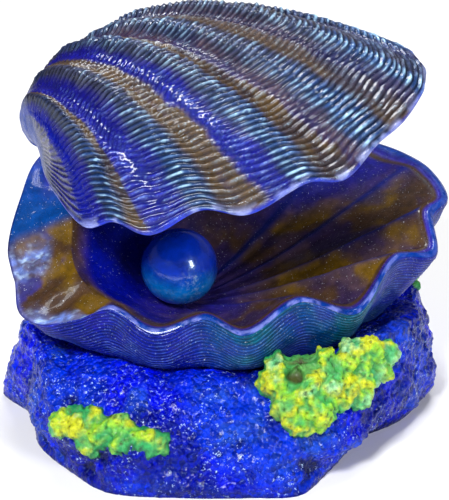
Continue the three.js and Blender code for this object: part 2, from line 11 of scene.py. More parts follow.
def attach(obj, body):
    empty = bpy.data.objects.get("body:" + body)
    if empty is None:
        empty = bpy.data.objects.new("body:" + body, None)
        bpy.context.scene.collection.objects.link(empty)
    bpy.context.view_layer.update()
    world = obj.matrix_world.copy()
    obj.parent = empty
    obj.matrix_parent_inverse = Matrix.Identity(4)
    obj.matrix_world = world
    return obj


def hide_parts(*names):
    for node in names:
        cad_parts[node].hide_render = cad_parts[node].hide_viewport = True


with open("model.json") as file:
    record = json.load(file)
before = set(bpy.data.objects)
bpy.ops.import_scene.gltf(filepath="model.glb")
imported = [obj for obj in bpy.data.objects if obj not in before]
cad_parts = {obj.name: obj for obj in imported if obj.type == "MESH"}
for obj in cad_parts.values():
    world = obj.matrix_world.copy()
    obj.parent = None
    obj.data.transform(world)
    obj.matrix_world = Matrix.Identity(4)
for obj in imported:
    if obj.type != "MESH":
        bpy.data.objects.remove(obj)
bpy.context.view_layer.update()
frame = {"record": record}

# The clam ornament's looks. Shapes are worked out in millimetres in the drawing's own frame,
# then moved by SHIFT and scaled to metres. The underside mount says how far that frame moved.
MM = 0.001
UNDERSIDE = next(m for m in frame["record"]["mounts"] if m["name"] == "underside")
SHIFT = np.array([UNDERSIDE["pos_m"][0] / MM - 65, UNDERSIDE["pos_m"][1] / MM - 6, 0.0])
BASE, LID = "ornament", "upper_valve_assembly"

# ---------------------------------------------------------------- camera, floor and lights
AIM = Vector((SHIFT[0], SHIFT[1], 50)) * MM
CAMERA = {"elevation": 28, "distance": 0.65, "lens": 140.4}


def add_camera():
    el = math.radians(CAMERA["elevation"])
    data = bpy.data.cameras.new("camera")
    data.lens = CAMERA["lens"]
    data.clip_start = 0.01
    ob = bpy.data.objects.new("camera", data)
    ob.location = AIM + CAMERA["distance"] * Vector((0, -math.cos(el), math.sin(el)))
    ob.rotation_euler = (math.pi / 2 - el, 0, 0)
    bpy.context.scene.collection.objects.link(ob)
    bpy.context.scene.camera = ob


def add_area(name, place, size, watts):
    """A white studio light aimed at the ornament."""
    data = bpy.data.lights.new(name, "AREA")
    data.shape = "RECTANGLE"
    data.size, data.size_y = size
    data.energy = watts
    ob = bpy.data.objects.new(name, data)
    ob.location = Vector(place)
    ob.rotation_euler = (AIM - ob.location).to_track_quat("-Z", "Y").to_euler()
    bpy.context.scene.collection.objects.link(ob)


add_camera()

# ---------------------------------------------------------------- numbers shared with part.mjs
# These repeat part.mjs, apart from CORALS and CORAL_HOLLOWS. The front left coral here stands
# further forward than its CAD lumps and is longer, so that it clears the lumpier rock.
SEAT_Z = 30.0
WALL = 4.5
FLOOR = np.array([-15.0, -11.0, 37.0])
PEARL_CENTRE, PEARL_R = np.array([-14.8, -12.5, 50.6]), 12.7
HINGE_TURN, HINGE_RISE = math.radians(38), 0.1
BEAK = np.array([-61.0, 11.0, 82.0])
PIN_FROM_BEAK = (34, 13, -5)
LEDGE = {"half": 23, "front": -7, "back": 7.5, "top": -9}
BOSS = {"half": 14, "front": -8, "back": 4, "bottom": 10.3}
SPIRAL = {"turn": 2.5, "shrink": 0.75, "fold": 3.2}
INLET = {"x": -14, "z": 10, "inner": 52, "outer": 56, "spot": 9}
UPPER_MIDDLE = np.array([4.0, 4.0, 92.0])
LAST_RIB = 14
LOWER_RIM = [
    (-36, -40, 50), (-22, -47, 45), (-6, -45, 49), (6.5, -48, 45), (24, -40, 52.5),
    (42, -37, 46.5), (55.5, -21, 57.5), (69, -13, 55), (69.5, 3, 61.5), (75, 12, 63),
    (70.5, 29, 66), (61, 44, 66), (46, 54, 67), (22, 59, 73), (-6, 49, 80.5),
    (-34, 30, 82.5), (-61, 11, 79.5), (-67.5, 2, 68), (-71.5, -6, 53.5), (-68.5, -17, 47.5),
    (-66, -30, 43), (-59.5, -36.5, 42.5), (-47, -40.5, 46.5),
]
LOWER_FOOT = [
    (-33, -36, 0.7), (-21, -42, 0.8), (-6, -41.5, 0.8), (6, -42.5, 0.8), (22, -37, 0.7),
    (34, -30, 0.4), (42, -18, 0.25), (49, -11, 0.15), (51, -2, 0.15), (54, 7, 0.15),
    (51, 20, 0.3), (45, 31, 0.5), (34, 41, 0.7), (16, 46, 0.8), (-7, 41, 0.8),
    (-29, 31, 0.7), (-48, 16, 0.4), (-53, 6, 0.2), (-54, -3, 0.1), (-53, -12, 0.1),
    (-49, -21, 0.1), (-44, -28, 0.3), (-39, -33, 0.5),
]
LOWER_CREASE = [
    (-33, -35, 48.5), (-21, -42, 45.5), (-6, -40.5, 49.5), (6, -43, 45.5), (22.5, -36, 53),
    (40.5, -31.5, 47.5), (54, -17.5, 58), (65.5, -10, 57), (64.5, 2, 64), (70, 11.5, 64.5),
    (63.5, 28.5, 67), (54, 38.5, 65), (43, 49.5, 66), (20, 54.5, 72), (-5, 44.5, 80.5),
    (-32, 26, 82), (-53, 9, 76), (-52, 1, 70), (-50, -6, 64.5), (-50, -14, 58),
    (-48, -22, 54.5), (-44, -28, 52), (-38, -32.5, 50),
]
UPPER_RIM = [
    (-43, -36, 77), (-34, -42, 82), (-23, -47, 80), (-7, -44, 87), (7, -46, 86.5),
    (26, -37, 93), (37, -33, 92), (48, -20, 98), (57, -9, 101), (64, 4, 106),
    (65, 13, 109), (61, 23, 111), (51, 38, 109.5), (36, 49, 106), (14, 56, 101),
    (-12, 48, 95), (-38, 30, 88), (-58, 12, 84), (-59, -3, 82), (-53, -20, 79.5),
]
ROCK_FOOT = [
    (-76, -9), (-65, -24), (-61, -42), (-49, -58), (-37, -69), (-14, -72), (8, -72),
    (24, -70.5), (34, -57), (45, -43), (55, -33), (65, -18), (70.5, 6), (68, 28), (52, 47),
    (24, 59), (-10, 60), (-42, 49), (-66, 23),
]
ROCK_BELLY = [
    (-72, -12), (-65, -27), (-61, -43), (-50, -58), (-37, -67), (-14, -68.5), (8, -68.5),
    (25, -67), (36, -60), (48, -49), (58, -38), (66, -24), (71, -2), (69, 25), (53, 46),
    (24, 58), (-10, 59), (-42, 48), (-65, 22),
]
ROCK_TOP = [
    (-65, -12, 29.7), (-61, -24, 29.7), (-57, -35, 29), (-48, -43, 28.5), (-34, -46.5, 29),
    (-14, -48.5, 29.7), (6, -49, 29.7), (24, -48, 31), (37, -44, 34), (47, -37, 37),
    (57, -28, 36), (63, -14, 33.5), (64, 5, 31), (61, 24, 29.7), (48, 41, 29.7),
    (22, 53, 29.7), (-9, 54, 29.7), (-38, 43, 29.7), (-59, 20, 29.7),
]
BELLY_LEVEL, BELLY_Z = 0.33, 10
ROCK_MIDDLE = np.array([0.0, -7.0])
ROCK_HOLLOW = {"size": 0.86, "top": 0.62}
CORALS = {  # blunt lumps, as x, y, z and radius
    "coral_left": [
        (-51, -54.5, 16.5, 5), (-45, -56.5, 16, 6), (-38, -58.5, 15.5, 6.5),
        (-31, -62, 15.5, 6.5), (-25, -63, 15.5, 6), (-29, -64, 12, 5), (-40, -56.5, 19.5, 4.5),
        (-47, -54, 19, 4), (-34, -59.5, 19.5, 5), (-21, -63, 15.5, 5), (-41, -60, 12, 5),
    ],
    "coral_right": [
        (18, -52, 31, 7), (26, -54, 29, 8), (32, -52, 31, 6.5), (20, -57, 25, 6.5),
        (29, -58, 24, 6.5), (17, -49, 35, 5), (24, -49, 35, 6), (31, -48, 35.5, 5),
        (23, -60, 20, 5.5), (14, -52, 30, 4.5), (37, -46, 32, 6), (41, -43, 35, 6),
        (46, -41, 34, 6), (51, -38, 32, 5.5), (38, -52, 27, 5.5), (44, -47, 28.5, 5.5),
        (50, -42, 29, 4.5), (42, -51, 24, 4.5),
    ],
    "coral_rear": [(62, 20, 27, 5), (64, 26, 26, 4.5), (63, 14, 28, 4)],
}
CORAL_HOLLOWS = {  # dips in a coral, as x, y, z, radius and depth
    "coral_right": [(24, -49, 38, 5.5, 6), (32, -53, 33, 4, 4.5), (22, -55, 34, 3.5, 3)],
    "coral_left": [(-35, -58, 22, 3.5, 1.5)],
    "coral_rear": [],
}

# ---------------------------------------------------------------- helpers: curves and noise


def closed_spline(points, steps):
    """Points round a closed centripetal spline, with so many steps to each of its stretches."""
    p1 = np.asarray(points, float)
    p0, p2, p3 = np.roll(p1, 1, 0), np.roll(p1, -1, 0), np.roll(p1, -2, 0)
    d0, d1, d2 = (
        np.linalg.norm(b - a, axis=1, keepdims=True) ** 0.5
        for a, b in ((p0, p1), (p1, p2), (p2, p3))
    )
    t1 = ((p1 - p0) / d0 - (p2 - p0) / (d0 + d1) + (p2 - p1) / d1) * d1
    t2 = ((p2 - p1) / d1 - (p3 - p1) / (d1 + d2) + (p3 - p2) / d2) * d1
    out = []
    for i, phase in enumerate_steps(len(p1), steps):
        t = (phase - i)[:, None]
        a, b, c, d = p1[i], p2[i], t1[i], t2[i]
        out.append(a + c * t + (3 * (b - a) - 2 * c - d) * t**2 + (2 * (a - b) + c + d) * t**3)
    return np.concatenate(out)


def enumerate_steps(stretches, steps):
    """Each stretch's number, with the phases of its points."""
    for i in range(stretches):
        count = steps[i] if isinstance(steps, list) else steps
        yield i, i + np.arange(count) / count


def phases(stretches, steps):
    return np.concatenate([phase for _, phase in enumerate_steps(stretches, steps)])


def smooth(x, low, high):
    t = np.clip((np.asarray(x, float) - low) / (high - low), 0, 1)
    return t * t * (3 - 2 * t)


def hashed(ix, iy, iz, seed):
    """A repeatable number from 0 to 1 for each whole-numbered cell."""
    h = (ix * 73856093) ^ (iy * 19349663) ^ (iz * 83492791) ^ (seed * 2654435761)
    h = (h & 0xFFFFFFFF).astype(np.uint64)
    for shift, factor in ((13, 1274126177), (16, 2246822519)):
        h = ((h ^ (h >> np.uint64(shift))) * np.uint64(factor)) & np.uint64(0xFFFFFFFF)
    return (h ^ (h >> np.uint64(15))).astype(float) / 0xFFFFFFFF


def value_noise(points, size, seed):
    """Smooth noise from -1 to 1 whose bumps are about size across."""
    p = points / size
    cell = np.floor(p).astype(np.int64)
    f = p - cell
    f = f * f * (3 - 2 * f)
    total = 0
    for dx, dy, dz in np.ndindex(2, 2, 2):
        weight = (
            (f[..., 0] if dx else 1 - f[..., 0])
            * (f[..., 1] if dy else 1 - f[..., 1])
            * (f[..., 2] if dz else 1 - f[..., 2])
        )
        corner = (cell[..., 0] + dx, cell[..., 1] + dy, cell[..., 2] + dz)
        total = total + weight * hashed(*corner, seed)
    return total * 2 - 1


def fractal(points, size, seed, octaves=4):
    """Value noise with finer, fainter noise added octave by octave."""
    total, weight = 0, 1.0
    for i in range(octaves):
        total = total + weight * value_noise(points, size / 2**i, seed + 17 * i)
        weight *= 0.5
    return total


def scattered(points, size, seed):
    """Distance, in cells, to the nearest scattered point, and that point's own number."""
    p = points / size
    cell = np.floor(p).astype(np.int64)
    near = np.full(p.shape[:-1], 9.0)
    number = near.copy()
    for step in np.ndindex(3, 3, 3):
        c = tuple(cell[..., k] + step[k] - 1 for k in range(3))
        q = np.stack([c[k] + hashed(*c, seed + k) for k in range(3)], -1)
        d = np.linalg.norm(p - q, axis=-1)
        number = np.where(d < near, hashed(*c, seed + 7), number)
        near = np.minimum(d, near)
    return near, number


def blend(a, b, t):
    t = np.clip(np.asarray(t, float), 0, 1)[..., None]
    return a * (1 - t) + np.asarray(b) * t


def filled(colour, points):
    """One colour for every point."""
    return np.broadcast_to(np.asarray(colour), points.shape)


def lane(*parts):
    """Coordinates for noise that runs along a surface's own rows and columns."""
    first = np.broadcast_arrays(*parts)
    return np.stack([*first, np.zeros(first[0].shape)][:3], -1)


# ---------------------------------------------------------------- helpers: meshes


def add_object(name, mesh, material, body, replaces=()):
    ob = bpy.data.objects.new(name, mesh)
    bpy.context.scene.collection.objects.link(ob)
    mesh.materials.clear()
    mesh.materials.append(material)
    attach(ob, body)
    if replaces:
        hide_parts(*replaces)
    return ob


def paint_mesh(mesh, colours, ridge, dull=0.0):
    """Stores each point's colour, height mask and dullness, for the materials to read."""
    layer = mesh.color_attributes.new("paint", "FLOAT_COLOR", "POINT")
    rgba = np.ones((len(mesh.vertices), 4), np.float32)
    rgba[:, :3] = np.clip(colours, 0, 1)
    layer.data.foreach_set("color", rgba.ravel())
    for name, values in (("ridge", ridge), ("dull", dull)):
        mask = mesh.attributes.new(name, "FLOAT", "POINT")
        values = np.broadcast_to(np.asarray(values, np.float32).ravel(), len(mesh.vertices))
        mask.data.foreach_set("value", np.ascontiguousarray(values))


def grid_mesh(name, rows, start, end):
    """A mesh of rows of points that each close on themselves, with a fan to a point at each end."""
    count, cols = rows.shape[:2]
    at = np.arange(count * cols).reshape(count, cols)
    nxt = np.roll(at, -1, 1)
    faces = np.stack([at[:-1], nxt[:-1], nxt[1:], at[1:]], -1).reshape(-1, 4)
    verts = rows.reshape(-1, 3)
    fans = []
    for tip, row, order in ((start, 0, (0, 2, 1)), (end, count - 1, (0, 1, 2))):
        fan = np.stack([np.full(cols, len(verts)), at[row], nxt[row]], -1)[:, order]
        fans += fan.tolist()
        verts = np.vstack([verts, tip])
    a, b, c = (verts[faces[:, k]] for k in (0, 1, 2))
    if np.sum(np.cross(a, b) * c) < 0:  # turned inside out
        faces, fans = faces[:, ::-1], [f[::-1] for f in fans]
    mesh = bpy.data.meshes.new(name)
    mesh.from_pydata(((verts + SHIFT) * MM).tolist(), [], faces.tolist() + fans)
    mesh.shade_smooth()
    return mesh


def grid_normals(rows, middle):
    """Normals of closed rows of points, pointing away from the middle on the whole."""
    along = np.gradient(rows, axis=0)
    around = (np.roll(rows, -1, 1) - np.roll(rows, 1, 1)) / 2
    n = np.cross(around, along)
    n /= np.linalg.norm(n, axis=-1, keepdims=True) + 1e-9
    return n if np.mean(np.sum(n * (rows - middle), -1)) > 0 else -n


def stored_points(mesh):
    """A mesh's own coordinates, in whatever unit it was made in."""
    co = np.empty(len(mesh.vertices) * 3, np.float32)
    mesh.vertices.foreach_get("co", co)
    return co.reshape(-1, 3).astype(float)


def points_of(mesh):
    return stored_points(mesh) / MM - SHIFT


def move_points(mesh, points):
    mesh.vertices.foreach_set("co", ((points + SHIFT) * MM).astype(np.float32).ravel())
    mesh.update()


def normals_of(mesh):
    n = np.empty(len(mesh.vertices) * 3, np.float32)
    mesh.vertices.foreach_get("normal", n)
    return n.reshape(-1, 3).astype(float)


def tree_of(mesh):
    """A tree for casting rays at a mesh, in the drawing's millimetres."""
    return BVHTree.FromPolygons(points_of(mesh).tolist(), [tuple(p.vertices) for p in mesh.polygons])


def modified(ob, *modifiers):
    """The mesh that an object has once the given modifiers are on it; the object is removed."""
    for kind, settings in modifiers:
        modifier = ob.modifiers.new(kind.lower(), kind)
        for key, value in settings.items():
            setattr(modifier, key, value)
    graph = bpy.context.evaluated_depsgraph_get()
    mesh = bpy.data.meshes.new_from_object(ob.evaluated_get(graph))
    bpy.data.objects.remove(ob)
    mesh.shade_smooth()
    return mesh


# ---------------------------------------------------------------- helpers: materials


class Nodes:
    """Short names for the shader nodes that the materials share."""

    def __init__(self, name):
        self.material = bpy.data.materials.new(name)
        self.material.use_nodes = True
        self.tree = self.material.node_tree
        self.shader = self.tree.nodes["Principled BSDF"]

    def make(self, kind, inputs=(), **settings):
        node = self.tree.nodes.new(kind)
        for key, value in settings.items():
            setattr(node, key, value)
        for key, value in dict(inputs).items():
            self.put(node.inputs[key], value)
        return node

    def put(self, socket, value):
        if isinstance(value, bpy.types.NodeSocket):
            self.tree.links.new(value, socket)
        else:
            socket.default_value = value

    def set(self, **values):
        for key, value in values.items():
            self.put(self.shader.inputs[key.replace("_", " ")], value)

    def place(self):
        return self.make("ShaderNodeTexCoord").outputs["Object"]

    def noise(self, scale, detail=4.0, rough=0.5):
        inputs = {"Vector": self.place(), "Scale": scale, "Detail": detail, "Roughness": rough}
        return self.make("ShaderNodeTexNoise", inputs).outputs["Fac"]

    def grains(self, scale, output="Distance"):
        inputs = {"Vector": self.place(), "Scale": scale}
        return self.make("ShaderNodeTexVoronoi", inputs).outputs[output]

    def ramp(self, value, *stops):
        node = self.make("ShaderNodeValToRGB", {"Fac": value})
        elements = node.color_ramp.elements
        while len(elements) < len(stops):
            elements.new(0.5)
        for element, (place, colour) in zip(elements, stops):
            element.position = place
            element.color = (colour,) * 3 + (1,) if isinstance(colour, (int, float)) else (*colour, 1)
        return node.outputs["Color"]

    def span(self, value, low, high, to_low, to_high):
        inputs = {0: value, 1: low, 2: high, 3: to_low, 4: to_high}
        return self.make("ShaderNodeMapRange", inputs).outputs[0]

    def mix(self, factor, a, b, blend_type="MIX"):
        node = self.make("ShaderNodeMix", data_type="RGBA", blend_type=blend_type)
        for index, value in ((0, factor), (6, a), (7, b)):
            self.put(node.inputs[index], (*value, 1) if isinstance(value, tuple) else value)
        return node.outputs[2]

    def maths(self, operation, a, b=0.0):
        return self.make("ShaderNodeMath", {0: a, 1: b}, operation=operation).outputs[0]

    def attribute(self, name, output="Color"):
        return self.make("ShaderNodeAttribute", attribute_name=name).outputs[output]

    def bump(self, height, distance, strength=1.0, normal=None):
        inputs = {"Height": height, "Distance": distance, "Strength": strength}
        if normal is not None:
            inputs["Normal"] = normal
        return self.make("ShaderNodeBump", inputs).outputs["Normal"]


def shell_material():
    """Airbrushed resin: mottled paint, painted glints flecked on the ridge tops, and small painted glints
    where it is dull.
    """
    m = Nodes("shell")
    paint, ridge, dull = m.attribute("paint"), m.attribute("ridge", "Fac"), m.attribute("dull", "Fac")
    mottle = m.ramp(m.noise(330, 6, 0.7), (0.3, 0.55), (0.7, 1.3))
    colour = m.mix(1.0, paint, mottle, "MULTIPLY")
    # Painted highlight: pale cyan flecks on the ridge tops stand in for glints.
    flecks = m.ramp(m.noise(1300, 4, 0.75), (0.57, 0.0), (0.64, 1.0))
    ridge_glints = m.maths("MULTIPLY", flecks, m.span(ridge, 0.4, 1.0, 0.0, 0.65))
    colour = m.mix(ridge_glints, colour, (0.45, 0.68, 0.88))
    # Painted glints: small near-white specks where the paint is dull.
    sparks = m.ramp(m.noise(1500, 3, 0.7), (0.655, 0.0), (0.70, 1.0))
    sparkle = m.maths("MULTIPLY", sparks, m.maths("MULTIPLY", dull, 0.6))
    colour = m.mix(sparkle, colour, (0.8, 0.85, 0.95))
    gloss = m.span(m.noise(420, 5), 0.3, 0.7, 0.15, 0.32)
    fine = m.bump(m.noise(2300, 5, 0.65), 0.00022, 0.6)
    m.set(Base_Color=colour, Roughness=m.maths("ADD", gloss, m.maths("MULTIPLY", dull, 0.22)))
    m.set(Normal=m.bump(m.noise(900, 4), 0.0003, 0.5, fine))
    m.set(Specular_IOR_Level=m.span(dull, 0.0, 1.0, 0.34, 0.12))
    m.set(Specular_Tint=(0.35, 0.6, 1.0, 1), Coat_Roughness=0.08)
    m.set(Coat_Weight=m.span(dull, 0.0, 1.0, 0.6, 0.05))
    return m.material


def rock_material():
    """Coarse blue grit set in resin: glassy grains, painted glints, and hollows darkened with painted
    shade.
    """
    m = Nodes("rock")
    tone = m.ramp(m.grains(640, "Color"), (0.1, 0.5), (0.9, 1.5))
    colour = m.mix(1.0, m.attribute("paint"), tone, "MULTIPLY")
    # Painted glints: pale blue specks, in patches, mixed into the base colour.
    glint = m.ramp(m.noise(820, 4, 0.75), (0.595, 0.0), (0.65, 1.0))
    patch = m.ramp(m.noise(75, 4), (0.42, 0.05), (0.56, 0.9))
    colour = m.mix(m.maths("MULTIPLY", glint, patch), colour, (0.5, 0.68, 1.0))
    dome = m.ramp(m.grains(640), (0.0, 1.0), (0.75, 0.0))
    fine = m.bump(m.noise(2600, 4, 0.6), 0.0002, 0.6)
    m.set(Base_Color=colour, Roughness=m.span(m.noise(500, 3), 0.35, 0.65, 0.16, 0.45))
    m.set(Normal=m.bump(dome, 0.0008, 0.85, fine), Coat_Weight=0.15, Coat_Roughness=0.1)
    m.set(Specular_IOR_Level=0.3, Specular_Tint=(0.3, 0.5, 1.0, 1))
    return m.material


def coral_material():
    """Painted crust: powdery grain, with small pits darkened by painted shade."""
    m = Nodes("coral")
    mottle = m.ramp(m.noise(600, 6, 0.75), (0.3, 0.35), (0.7, 1.35))
    colour = m.mix(1.0, m.attribute("paint"), mottle, "MULTIPLY")
    # Painted shade: dark green in the small pits.
    pits = m.ramp(m.grains(420), (0.1, 1.0), (0.2, 0.0))
    colour = m.mix(m.maths("MULTIPLY", pits, 0.6), colour, (0.03, 0.08, 0.005))
    pitted = m.bump(m.ramp(m.grains(420), (0.05, 0.0), (0.3, 1.0)), 0.0007, 0.8)
    m.set(Base_Color=colour, Roughness=m.span(m.noise(900, 3), 0.3, 0.7, 0.3, 0.6))
    m.set(Normal=m.bump(m.noise(2200, 5, 0.65), 0.0004, 0.9, pitted))
    m.set(Coat_Weight=0.2, Coat_Roughness=0.25)
    return m.material


def pearl_material():
    """Blue pearl lacquer, paler below, brushed with white, with a painted highlight streak, under a clear
    coat.
    """
    m = Nodes("pearl")
    mottle = m.ramp(m.noise(160, 6, 0.7), (0.3, 0.6), (0.7, 1.35))
    colour = m.mix(1.0, m.attribute("paint"), mottle, "MULTIPLY")
    # White strokes from the ridge mask: scuffs on the lower half, and a painted highlight streak at the
    # front right.
    strokes = m.ramp(m.noise(420, 5, 0.75), (0.5, 0.0), (0.66, 1.0))
    brushed = m.maths("MULTIPLY", strokes, m.attribute("ridge", "Fac"))
    colour = m.mix(m.maths("MULTIPLY", brushed, 0.75), colour, (0.5, 0.72, 0.95))
    m.set(Base_Color=colour, Roughness=m.span(m.noise(160, 5), 0.3, 0.7, 0.2, 0.4))
    m.set(Coat_Weight=1.0, Coat_Roughness=0.06, Specular_Tint=(0.4, 0.7, 1.0, 1))
    m.set(Normal=m.bump(m.noise(700, 5), 0.00015, 0.6))
    return m.material


def plain_material(name, colour, roughness, grain=1400, depth=0.0001, **constants):
    """Moulded or turned small parts: a base colour with scuffs and a fine surface grain."""
    m = Nodes(name)
    dark = tuple(c * 0.7 for c in colour)
    light = tuple(min(1, c * 1.25 + 0.01) for c in colour)
    tone = m.ramp(m.noise(grain / 4, 5, 0.6), (0.3, dark), (0.7, light))
    rough = m.span(m.noise(grain / 2, 4), 0.3, 0.7, roughness * 0.75, min(1, roughness * 1.3))
    m.set(Base_Color=tone, Roughness=rough, Normal=m.bump(m.noise(grain, 4), depth, 0.6), **constants)
    return m.material


SHELL, ROCK, CORAL, PEARL = shell_material(), rock_material(), coral_material(), pearl_material()
BRACKET = plain_material("bracket", (0.012, 0.013, 0.016), 0.45, 1600)
STEEL_LOOK = plain_material("steel", (0.5, 0.52, 0.54), 0.28, 2500, 0.00003, Metallic=1.0)
CLEAR = plain_material("clear_plastic", (0.62, 0.7, 0.72), 0.2, 900, 0.00004, Transmission_Weight=0.6)
RUBBER = plain_material("rubber", (0.02, 0.02, 0.022), 0.8, 1800, 0.00015)
STONE = plain_material("air_stone", (0.24, 0.33, 0.42), 0.95, 1500, 0.0006)

# ---------------------------------------------------------------- the hinge's own frame
ALONG = np.array([math.cos(HINGE_TURN), math.sin(HINGE_TURN), HINGE_RISE])
ALONG /= np.linalg.norm(ALONG)
FORWARD = np.array([math.sin(HINGE_TURN), -math.cos(HINGE_TURN), 0.0])
UPWARD = np.cross(FORWARD, ALONG)
UPWARD /= np.linalg.norm(UPWARD)
PIN = BEAK + PIN_FROM_BEAK[0] * ALONG + PIN_FROM_BEAK[1] * FORWARD + PIN_FROM_BEAK[2] * UPWARD
HINGE_AXES = np.stack([ALONG, -FORWARD, UPWARD])


def from_hinge(points):
    return PIN + points @ HINGE_AXES


def to_hinge(points):
    return (points - PIN) @ HINGE_AXES.T


def turned(vectors, angle):
    """Vectors turned by an angle about the hinge's direction."""
    c, s = np.cos(angle)[..., None], np.sin(angle)[..., None]
    along = (vectors @ ALONG)[..., None] * ALONG
    return vectors * c + np.cross(ALONG, vectors) * s + along * (1 - c)


# ---------------------------------------------------------------- paints of the two valves
VIOLET = np.array((0.012, 0.009, 0.38))
STEEL = np.array((0.018, 0.085, 0.32))
OCHRE = np.array((0.145, 0.078, 0.003))
BROWN = np.array((0.066, 0.033, 0.014))
BLUE = np.array((0.0, 0.042, 0.36))
LIP = np.array((0.012, 0.030, 0.50))
LAVENDER = np.array((0.22, 0.25, 0.72))
# Pale cyan of the painted highlight on the upper valve's ridge tops.
HIGHLIGHT_CYAN = np.array((0.42, 0.70, 0.90))
DEEP = np.array((0.0, 0.004, 0.26))


# ---------------------------------------------------------------- upper valve
UPPER_STEPS = [16] * 14 + [9] * 6
RIDGE_PITCH = 2.1
RIDGE_HEIGHT, RIDGE_EASING = 1.15, 0.35  # and how much lower the ridges are at the right
ROW_PITCH = 0.46
FOLD_GAIN = 1.3  # how much deeper the folds are than the CAD's
DOME_LIFT = 4.8  # how far the back right of the dome stands above the CAD's, as in the photo
VALLEY, CREST = 0.42, 1.05  # where a rib's valley and crest lie in its two stretches of the rim


def fold_strength(phase):
    return smooth(phase, 0, 1.2) * (1 - smooth(phase, LAST_RIB - 2, LAST_RIB))


def rib_wave(phase):
    """-1 in the valleys and 1 on the crests, which lean towards the left."""
    u = (phase - VALLEY) % 2
    rise = CREST - VALLEY
    up = 0.5 * np.minimum(u / rise, 1) + 0.5 * np.maximum((u - rise) / (2 - rise), 0)
    wave = -np.cos(2 * np.pi * up)
    return 0.6 * wave + 0.4 * (1 - 2 * np.abs(np.cos(np.pi * up)) ** 1.5)


def upper_points(phase, age, rim):
    psi = SPIRAL["turn"] * age
    size = np.exp(-SPIRAL["shrink"] * psi)
    arm = turned(np.broadcast_to(rim - BEAK, age.shape + (3,)), -psi) * size[..., None]
    out = arm - (arm @ ALONG)[..., None] * ALONG
    out /= np.linalg.norm(out, axis=-1, keepdims=True) + 1e-9
    lift = FOLD_GAIN * SPIRAL["fold"] * np.sin(np.pi * np.minimum(1, age * 1.25) ** 0.8) * size**0.75
    raised = smooth(phase, 6.0, 9.0) * (1 - smooth(phase, 12.5, 15.0))
    dome = DOME_LIFT * raised * np.sin(np.pi * age**0.5)
    return BEAK + arm + (lift * rib_wave(phase) * fold_strength(phase) + dome)[..., None] * out


def upper_ages():
    """Ages of the rows: evenly spaced along the longest rib, then a few up to the beak."""
    rate, last = SPIRAL["turn"] * SPIRAL["shrink"], 0.86
    longest = 138.0
    part = np.linspace(0, 1, int(longest / ROW_PITCH)) * (1 - math.exp(-rate * last))
    return np.concatenate([-np.log(1 - part) / rate, np.linspace(last, 1, 11)[1:]])


def upper_ridges(phase, reach):
    """Growth ridges at an even pitch, each rib counted on its own, joined in the valleys."""
    rib = (phase[0] - VALLEY) / 2
    low = np.floor(rib - 0.5)
    share = smooth(rib - 0.5 - low, 0.36, 0.64)
    middles = [int(np.argmin(np.abs(phase[0] - p))) for p in np.arange(0, 20, 2) + 1.25]
    lengths = reach[:, middles]

    def pick(k):
        return lengths[:, np.clip(k, 0, len(middles) - 1).astype(int)]

    count = (pick(low) * (1 - share) + pick(low + 1) * share) / RIDGE_PITCH
    wander = 0.26 * value_noise(lane(phase * 1.9, reach / 5), 1.0, 3)
    wander = wander + 0.1 * value_noise(lane(phase * 5, reach / 2.4), 1.0, 4)
    n = count + wander
    ridge = (0.5 - 0.5 * np.cos(2 * np.pi * n)) ** 1.15
    knots = value_noise(lane(phase * 5.3, np.floor(n)), 1.0, 8)
    seam = 1 - 0.45 * np.sin(np.pi * share) ** 6
    return ridge * np.clip(0.82 + 0.36 * knots, 0.2, 1.2) * seam


